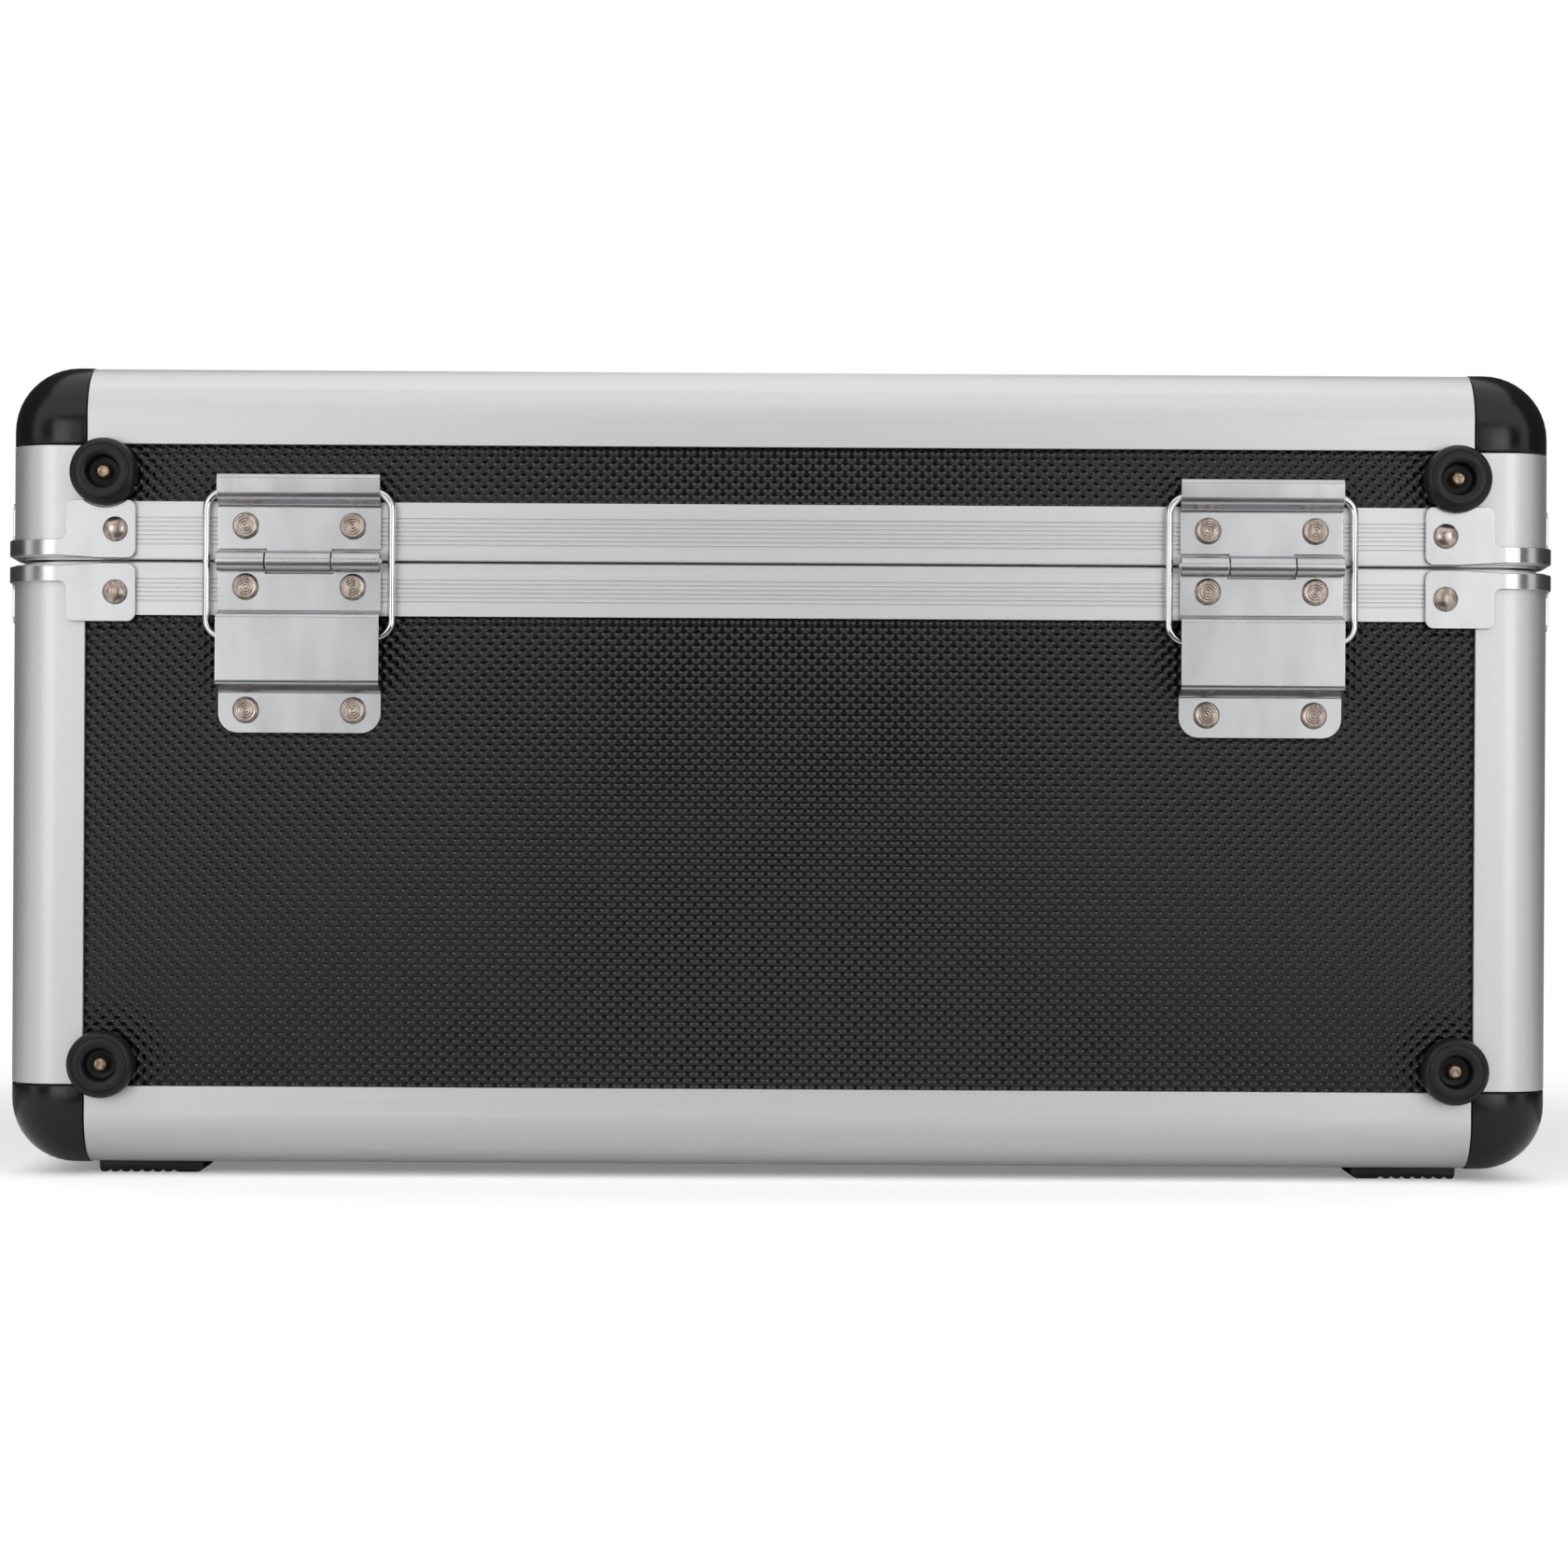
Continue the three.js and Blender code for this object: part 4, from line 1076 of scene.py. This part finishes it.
# %% Clips
clip_rivet_in = 27.7 * mm
clip_rivet_up = 7.9 * mm
clip_bevel = 0.22 * mm
clip_outer_round = 2 * mm
clip_inner_round = 1.6 * mm
bumper_in = 25 * mm
bumper_clearance_radius = 8.8 * mm
lid_bumper_up = 22.2 * mm
plate_line = [(13, 1.3), (24, 0.65), (32.8, 0.65), (32.8, 15.35), (15.3, 15.35), (15.3, 5.35), (13, 5.35)]
plate_outer_corners = plate_line[2:5]
plate_inner_corner = plate_line[5]
swap_x_and_y = Matrix(((0, 1, 0, 0), (1, 0, 0, 0), (0, 0, 1, 0), (0, 0, 0, 1)))


def near(point, across, up):
    return abs(point.x - across * mm) < mm / 20 and abs(point.z - up * mm) < mm / 20


def clip(name):
    """A clip drawn inwards from the corner line, with +Z away from the seam."""
    half = trace(name, [(across * mm, -off_face, up * mm) for across, up in plate_line])
    close_line()
    bpy.ops.mesh.select_all(action="SELECT")
    bpy.ops.mesh.edge_face_add()
    choose("VERT", lambda point: any(near(point, *place) for place in plate_outer_corners))
    bpy.ops.mesh.bevel(offset=clip_outer_round, segments=5, affect="VERTICES")
    choose("VERT", lambda point: near(point, *plate_inner_corner))
    bpy.ops.mesh.bevel(offset=clip_inner_round, segments=4, affect="VERTICES")
    choose("EDGE", lambda point: abs(point.x - round_radius) < mm / 20)
    turn(-math.pi / 4, 8, (round_radius, round_radius, 0), (0, 0, 1))
    stop_editing()
    other = copy_of(half, name + "_other", swap_x_and_y)
    join(half, other)
    edit(half)
    merge_doubles()
    face_outwards()
    stop_editing()
    return half


def turn_outwards(piece, middle):
    """Makes an open sheet face away from a point."""
    mesh = piece.data
    face = mesh.polygons[0]
    if face.normal.dot(face.center - Vector(middle)) < 0:
        edit(piece)
        bpy.ops.mesh.select_all(action="SELECT")
        bpy.ops.mesh.flip_normals()
        stop_editing()


sheet_clip = clip("sheet_clip")
turn_outwards(sheet_clip, (0.05, 0.05, 0))
thicken(sheet_clip, sheet, 1)
cut_clip = copy_of(sheet_clip, "cut_clip")
bpy.ops.object.select_all(action="DESELECT")
bpy.ops.mesh.primitive_cylinder_add(
    vertices=48, radius=bumper_clearance_radius, depth=12 * mm, location=(bumper_in, 0, lid_bumper_up),
    rotation=(math.pi / 2, 0, 0))
cutter = bpy.context.object
modify(cut_clip, "BOOLEAN", object=cutter, operation="DIFFERENCE", solver="EXACT")
cut_clip_other = copy_of(sheet_clip, "cut_clip_other")
set_down(cutter, Matrix.Identity(4))
set_down(cutter, swap_x_and_y)
modify(cut_clip_other, "BOOLEAN", object=cutter, operation="DIFFERENCE", solver="EXACT")
discard(cutter)
clip_patterns = {"lid_clip_back_left": cut_clip, "lid_clip_back_right": cut_clip_other}
for pattern in (sheet_clip, cut_clip, cut_clip_other):
    round_edges(pattern, clip_bevel)

facing_back = Matrix.Rotation(math.pi / 2, 4, "X")
facing_side = Matrix.Rotation(-math.pi / 2, 4, "Y")
plate_face = -off_face - sheet
clip_heads = {
    "a": Matrix.Translation((clip_rivet_in, plate_face, clip_rivet_up)) @ facing_back,
    "b": Matrix.Translation((plate_face, clip_rivet_in, clip_rivet_up)) @ facing_side,
}
for half, up in (("base", -1), ("lid", 1)):
    for corner in corners:
        place = in_corner(corner, seam, up)
        node = f"{half}_clip_{corner}"
        pattern = clip_patterns.get(node, sheet_clip)
        piece = copy_of(pattern, f"{half}_pressed_clip_{corner}", place)
        dress(piece, zinc, half, "zinc_steel", node, smooth=40, flat=True)
        for number, (key, head) in enumerate(clip_heads.items()):
            name = f"{half}_clip_rivet_{corner}_{key}"
            rivet(dome_rivet, name, place @ head, half, nickel, number + len(corner), node)
for pattern in (sheet_clip, cut_clip, cut_clip_other):
    discard(pattern)
print("clips made")

# %% [markdown]
# ## Bumpers and feet
# The rubber bumpers on the hinge side are turned shapes too: a rounded shoulder, a fine ring where the
# mould's insert met, and a deep hollow with the rivet at its bottom. The feet are ribbed pads.

# %% Bumpers
bumper_height = 5.4 * mm
bumper_rivet_up = 2.0 * mm
bumper_outline = [
    (0, 0.8), (3.4, 0.8), (3.75, 1.0), (3.9, 1.6), (4.1, 4.5), (4.35, 5.0), (4.75, 5.3), (5.3, 5.4),
    (6.2, 5.38), (6.62, 5.3), (6.74, 5.1), (6.88, 5.08), (7.0, 5.24), (7.4, 5.08), (7.85, 4.7), (8.2, 4.15),
    (8.42, 3.4), (8.5, 2.6), (8.5, 0.7), (8.4, 0.3), (8.1, 0.0), (0, 0)]
bumper_pattern = lathe("bumper_pattern", in_mm(bumper_outline), 64)
for half in ("base", "lid"):
    for side in ("left", "right"):
        node = f"{half}_bumper_{side}"
        low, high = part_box(node)
        middle = (low + high) / 2
        place = Matrix.Translation((middle.x, low.y + bumper_height, middle.z)) @ facing_back
        piece = copy_of(bumper_pattern, f"{half}_rubber_bumper_{side}", place)
        dress(piece, rubber, half, "rubber", node, smooth=50)
        head = place @ Matrix.Translation((0, 0, bumper_rivet_up))
        rivet(crumpled_rivet, f"{half}_bumper_rivet_{side}", head, half, brass, len(node), node)
        print(node, "is", round(high.y - low.y, 4), "m deep")
discard(bumper_pattern)

# %% Feet
first_rib = 1.35
rib_pitch = 2.7
foot_bevel = 0.3 * mm
rib_line = [(-1.22, 0.95), (-1.0, 0.35), (-0.6, 0.07), (0, 0), (0.6, 0.07), (1.0, 0.35), (1.22, 0.95)]


def foot(name, width, reach, height):
    """A ribbed pad drawn from its outer end along +X, standing on Z = 0."""
    line = [(0, height / mm)]
    for rib in range(7):
        line += [(first_rib + rib_pitch * rib + across, up) for across, up in rib_line]
    end = width / mm
    line += [(19.2, 0.5), (19.8, 0.1), (20.6, 0), (end - 1.6, 0), (end - 0.8, 0.25), (end - 0.25, 0.8),
             (end, 1.6), (end, height / mm)]
    piece = trace(name, [(across * mm, -reach / 2, up * mm) for across, up in line])
    close_line()
    bpy.ops.mesh.select_all(action="SELECT")
    bpy.ops.mesh.edge_face_add()
    push((0, reach, 0))
    face_outwards()
    stop_editing()
    round_edges(piece, foot_bevel, 2, 60)
    return piece


for corner in corners:
    node = f"foot_{corner}"
    low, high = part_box(node)
    piece = foot(f"ribbed_{node}", high.x - low.x, high.y - low.y, high.z - low.z)
    middle = (low.y + high.y) / 2
    if "left" in corner:
        place = Matrix.Translation((low.x, middle, low.z))
    else:
        place = Matrix.Translation((high.x, middle, low.z)) @ Matrix.Rotation(math.pi, 4, "Z")
    set_down(piece, place)
    dress(piece, rubber, "base", "rubber", node, smooth=40)
print("feet made")

# %% [markdown]
# ## Hinges
# Each hinge is two pressed leaves whose ends roll round a pin. The upper leaf ends in a hook and the lower
# one steps out into a channel, and a wire ring links the two to stop the lid. A leaf is drawn in side view,
# pushed across in three stretches, and loses the rolls that belong to the other leaf.

# %% Leaves
half_leaf = 20.5 * mm
half_knuckle = 8.2 * mm
knuckle_gap = 0.3 * mm
knuckle_out = 2.8 * mm
roll_radius = 2.1 * mm
roll_steps = 22
roll_limit = 3 * mm
leaf_bevel = 0.2 * mm


def leaf(name, side_view, roll, inner, keeps_middle):
    """A leaf from its side view (out, up), with the roll in the middle or at both sides."""
    line = [Vector((-half_leaf, out, up)) for out, up in [*side_view, *roll]]
    piece = trace(name, line)
    bpy.ops.mesh.select_all(action="SELECT")
    push((half_leaf - inner, 0, 0))
    push((2 * inner, 0, 0))
    push((half_leaf - inner, 0, 0))
    if keeps_middle:
        choose("FACE", lambda point: abs(point.x) > inner and point.z < roll_limit - mm / 50)
    else:
        choose("FACE", lambda point: abs(point.x) < inner and point.z > -roll_limit + mm / 50)
    bpy.ops.mesh.delete(type="FACE")
    face_outwards()
    stop_editing()
    return piece


def eased_view(line, radius, steps):
    """A leaf's side view in metres, from points in millimetres whose corners are eased."""
    return [(point.x * mm, point.y * mm) for point in rounded(line, radius, steps)]


knuckle_axis = (knuckle_out, 0)
hook_line = [(0.4, 21.5), (3.95, 21.5), (3.4, 16.1), (0.7, 14.5), (0.7, 3.0)]
hook_view = eased_view(hook_line, 1.3, 6)
upper_roll = arc(knuckle_axis, roll_radius, 180, 500, roll_steps)
upper_leaf = leaf("upper_leaf", hook_view, upper_roll, half_knuckle, True)
thicken(upper_leaf, sheet, 0)
round_edges(upper_leaf, leaf_bevel)

tab_end = -43.2
tab_round = 5 * mm
channel_line = [(-1.1, tab_end), (-1.1, -32.3), (5.5, -30.7), (5.5, -13.7), (0.7, -12.9), (0.7, -3.0)]
channel_view = eased_view(channel_line, 0.9, 5)
lower_roll = arc(knuckle_axis, roll_radius, 180, -140, roll_steps)
lower_leaf = leaf("lower_leaf", channel_view, lower_roll, half_knuckle + knuckle_gap, False)
edit(lower_leaf)
choose("VERT", lambda point: near(point, math.copysign(half_leaf / mm, point.x), tab_end))
bpy.ops.mesh.bevel(offset=tab_round, segments=8, affect="VERTICES")
stop_editing()
thicken(lower_leaf, sheet, 0)
round_edges(lower_leaf, leaf_bevel)
print("leaf faces:", len(upper_leaf.data.polygons), len(lower_leaf.data.polygons))

# %% Pins and rings
pin_line = [
    (0, 21.1), (0.6, 21.02), (0.9, 20.8), (1.0, 20.4), (1.0, -20.4), (0.9, -20.8), (0.6, -21.02), (0, -21.1)]
pin = lathe("pin", in_mm(pin_line), 24)
set_down(pin, Matrix.Rotation(math.pi / 2, 4, "Y"))
ring_span = 46.6 * mm
ring_drop = 36.4 * mm
ring_round = 4.5 * mm
wire_radius = 1.0 * mm


def ring(name, out, up):
    """A wire ring that hangs from this place, drawn like the leaves."""
    start = Vector((-(ring_span / 2 - ring_round), out, up))
    bpy.ops.object.select_all(action="DESELECT")
    bpy.ops.mesh.primitive_circle_add(
        vertices=16, radius=wire_radius, location=start, rotation=(0, math.pi / 2, 0))
    piece = begin(name)
    bpy.ops.mesh.select_all(action="SELECT")
    sweep_loop(start, (1, 0, 0), (0, 0, -1), ring_span, ring_drop, ring_round, 10)
    stop_editing()
    return piece


stay_ring = ring("stay_ring", 1.5 * mm, 17.4 * mm)
hinge_rivets = [(13.5, 8.9), (13.5, -6.4), (13.5, -37.4)]
leaf_out = 1.2 * mm
tab_out = -0.6 * mm
for side in ("left", "right"):
    upper_node = f"hinge_upper_leaf_{side}"
    lower_node = f"hinge_lower_leaf_{side}"
    low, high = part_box(upper_node)
    place = on_face("back", (low.x + high.x) / 2)
    piece = copy_of(upper_leaf, f"upper_hinge_leaf_{side}", place)
    dress(piece, zinc, "lid", "zinc_steel", upper_node, smooth=40, flat=True)
    piece = copy_of(lower_leaf, f"lower_hinge_leaf_{side}", place)
    dress(piece, zinc, "base", "zinc_steel", lower_node, smooth=40, flat=True)
    piece = copy_of(pin, f"domed_hinge_pin_{side}", place @ Matrix.Translation((0, knuckle_out, 0)))
    dress(piece, zinc, "base", "zinc_steel", f"hinge_pin_{side}", smooth=40)
    piece = copy_of(stay_ring, f"wire_stay_ring_{side}", place)
    dress(piece, wire, f"stay_ring_{side}", "zinc_steel", f"stay_ring_{side}", smooth=60)
    for across, up in hinge_rivets:
        body, node = ("lid", upper_node) if up > 0 else ("base", lower_node)
        out = tab_out if up < -30 else leaf_out
        for way in (-1, 1):
            head = place @ Matrix.Translation((way * across * mm, out, up * mm)) @ out_of_face
            name = f"hinge_rivet_{side}_{way + 1}_{round(50 + up)}"
            rivet(dished_rivet, name, head, body, nickel, round(across + up + way), node)
for pattern in (upper_leaf, lower_leaf, pin, stay_ring):
    discard(pattern)

# %% [markdown]
# ## Latches and handle
# The parts on the front start from copies of their solids. Such a copy is loose triangles, so it is merged
# and its flat parts are dissolved into whole faces, after which its edges can be rounded like any others.
# Turned rivet heads go over the coarse ones.

# %% Softened copies
def softened(node, name, width, segments=2, angle=30):
    """A copy of a solid with its edges rounded."""
    source = next(piece for piece in bpy.data.objects if piece.name == node)
    piece = copy_of(source, name, source.matrix_world.copy())
    for key in list(piece.keys()):
        if key.startswith("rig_"):
            del piece[key]
    edit(piece)
    merge_doubles()
    bpy.ops.mesh.dissolve_limited(angle_limit=math.radians(2))
    stop_editing()
    round_edges(piece, width, segments, angle)
    return piece


for side in ("left", "right"):
    for node, body, width in (
        (f"latch_plate_{side}", "base", 0.2),
        (f"latch_keeper_{side}", "lid", 0.2),
        (f"latch_lever_{side}", f"latch_lever_{side}", 0.25),
        (f"latch_claw_{side}", f"latch_claw_{side}", 0.2),
        (f"handle_bracket_{side}", "base", 0.25),
    ):
        piece = softened(node, f"pressed_{node}", width * mm)
        dress(piece, zinc, body, "zinc_steel", node, smooth=35, flat=True)
grip = softened("handle_grip", "moulded_grip", 1.2 * mm, 3)
dress(grip, grip_plastic, "handle", "cap_plastic", "handle_grip", smooth=50)
print("front parts made")

# %% Rivets on the front
wider = Matrix.Diagonal((1.1, 1.1, 1, 1))
plate_spread = 16.8 * mm
plate_out = 1.2 * mm
bracket_rivet_x = 64.8 * mm
bracket_out = -0.4 * mm
for side, way in (("left", -1), ("right", 1)):
    low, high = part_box(f"latch_plate_{side}")
    latch_x = (low.x + high.x) / 2
    heads = []
    for across in (-plate_spread, plate_spread):
        heads.append((latch_x + across, plate_out, 7.6 * mm, "lid", f"latch_keeper_{side}", out_of_face))
        for up in (-6.2, -28.2):
            heads.append((latch_x + across, plate_out, up * mm, "base", f"latch_plate_{side}", out_of_face))
    for up in (-27, -47):
        heads.append((way * bracket_rivet_x, bracket_out, up * mm, "base", f"handle_bracket_{side}",
                      out_of_face @ wider))
    for number, (x, out, up, body, node, stretch) in enumerate(heads):
        head = on_face("front", 0) @ Matrix.Translation((x, out, up)) @ stretch
        rivet(flat_rivet, f"front_rivet_{side}_{number}", head, body, nickel, number, node)
print("front rivets:", 2 * len(heads))

# %% [markdown]
# ## Lining
# Both halves are lined with thin black foam, cut and glued as a tray. It starts as a cube of the tray's size
# with rounded corners, loses the face at the opening, and is thickened inwards. A wide bevel gives the foam
# its soft rim.

# %% Lining
foam_thickness = 2.5 * mm
foam_corner = 4.4 * mm
foam_rim = 0.9 * mm
for half, up in (("base", 1), ("lid", -1)):
    low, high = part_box(f"{half}_lining")
    middle = (low + high) / 2
    size = high - low
    bpy.ops.object.select_all(action="DESELECT")
    bpy.ops.mesh.primitive_cube_add(size=1, location=middle, scale=size)
    piece = begin(f"{half}_foam_tray")
    choose("EDGE", lambda point: abs(point.z - middle.z) < mm)
    bpy.ops.mesh.bevel(offset=foam_corner, segments=6, affect="EDGES")
    rim_level = high.z if up > 0 else low.z
    choose("FACE", lambda point: abs(point.z - rim_level) < mm / 10)
    bpy.ops.mesh.delete(type="FACE")
    stop_editing()
    thicken(piece, foam_thickness, -1)
    round_edges(piece, foam_rim, 4, 50)
    dress(piece, foam, half, "lining", f"{half}_lining", smooth=60)
    print(piece.name, [round(value, 4) for value in size])
for pattern in rivet_patterns:
    discard(pattern)
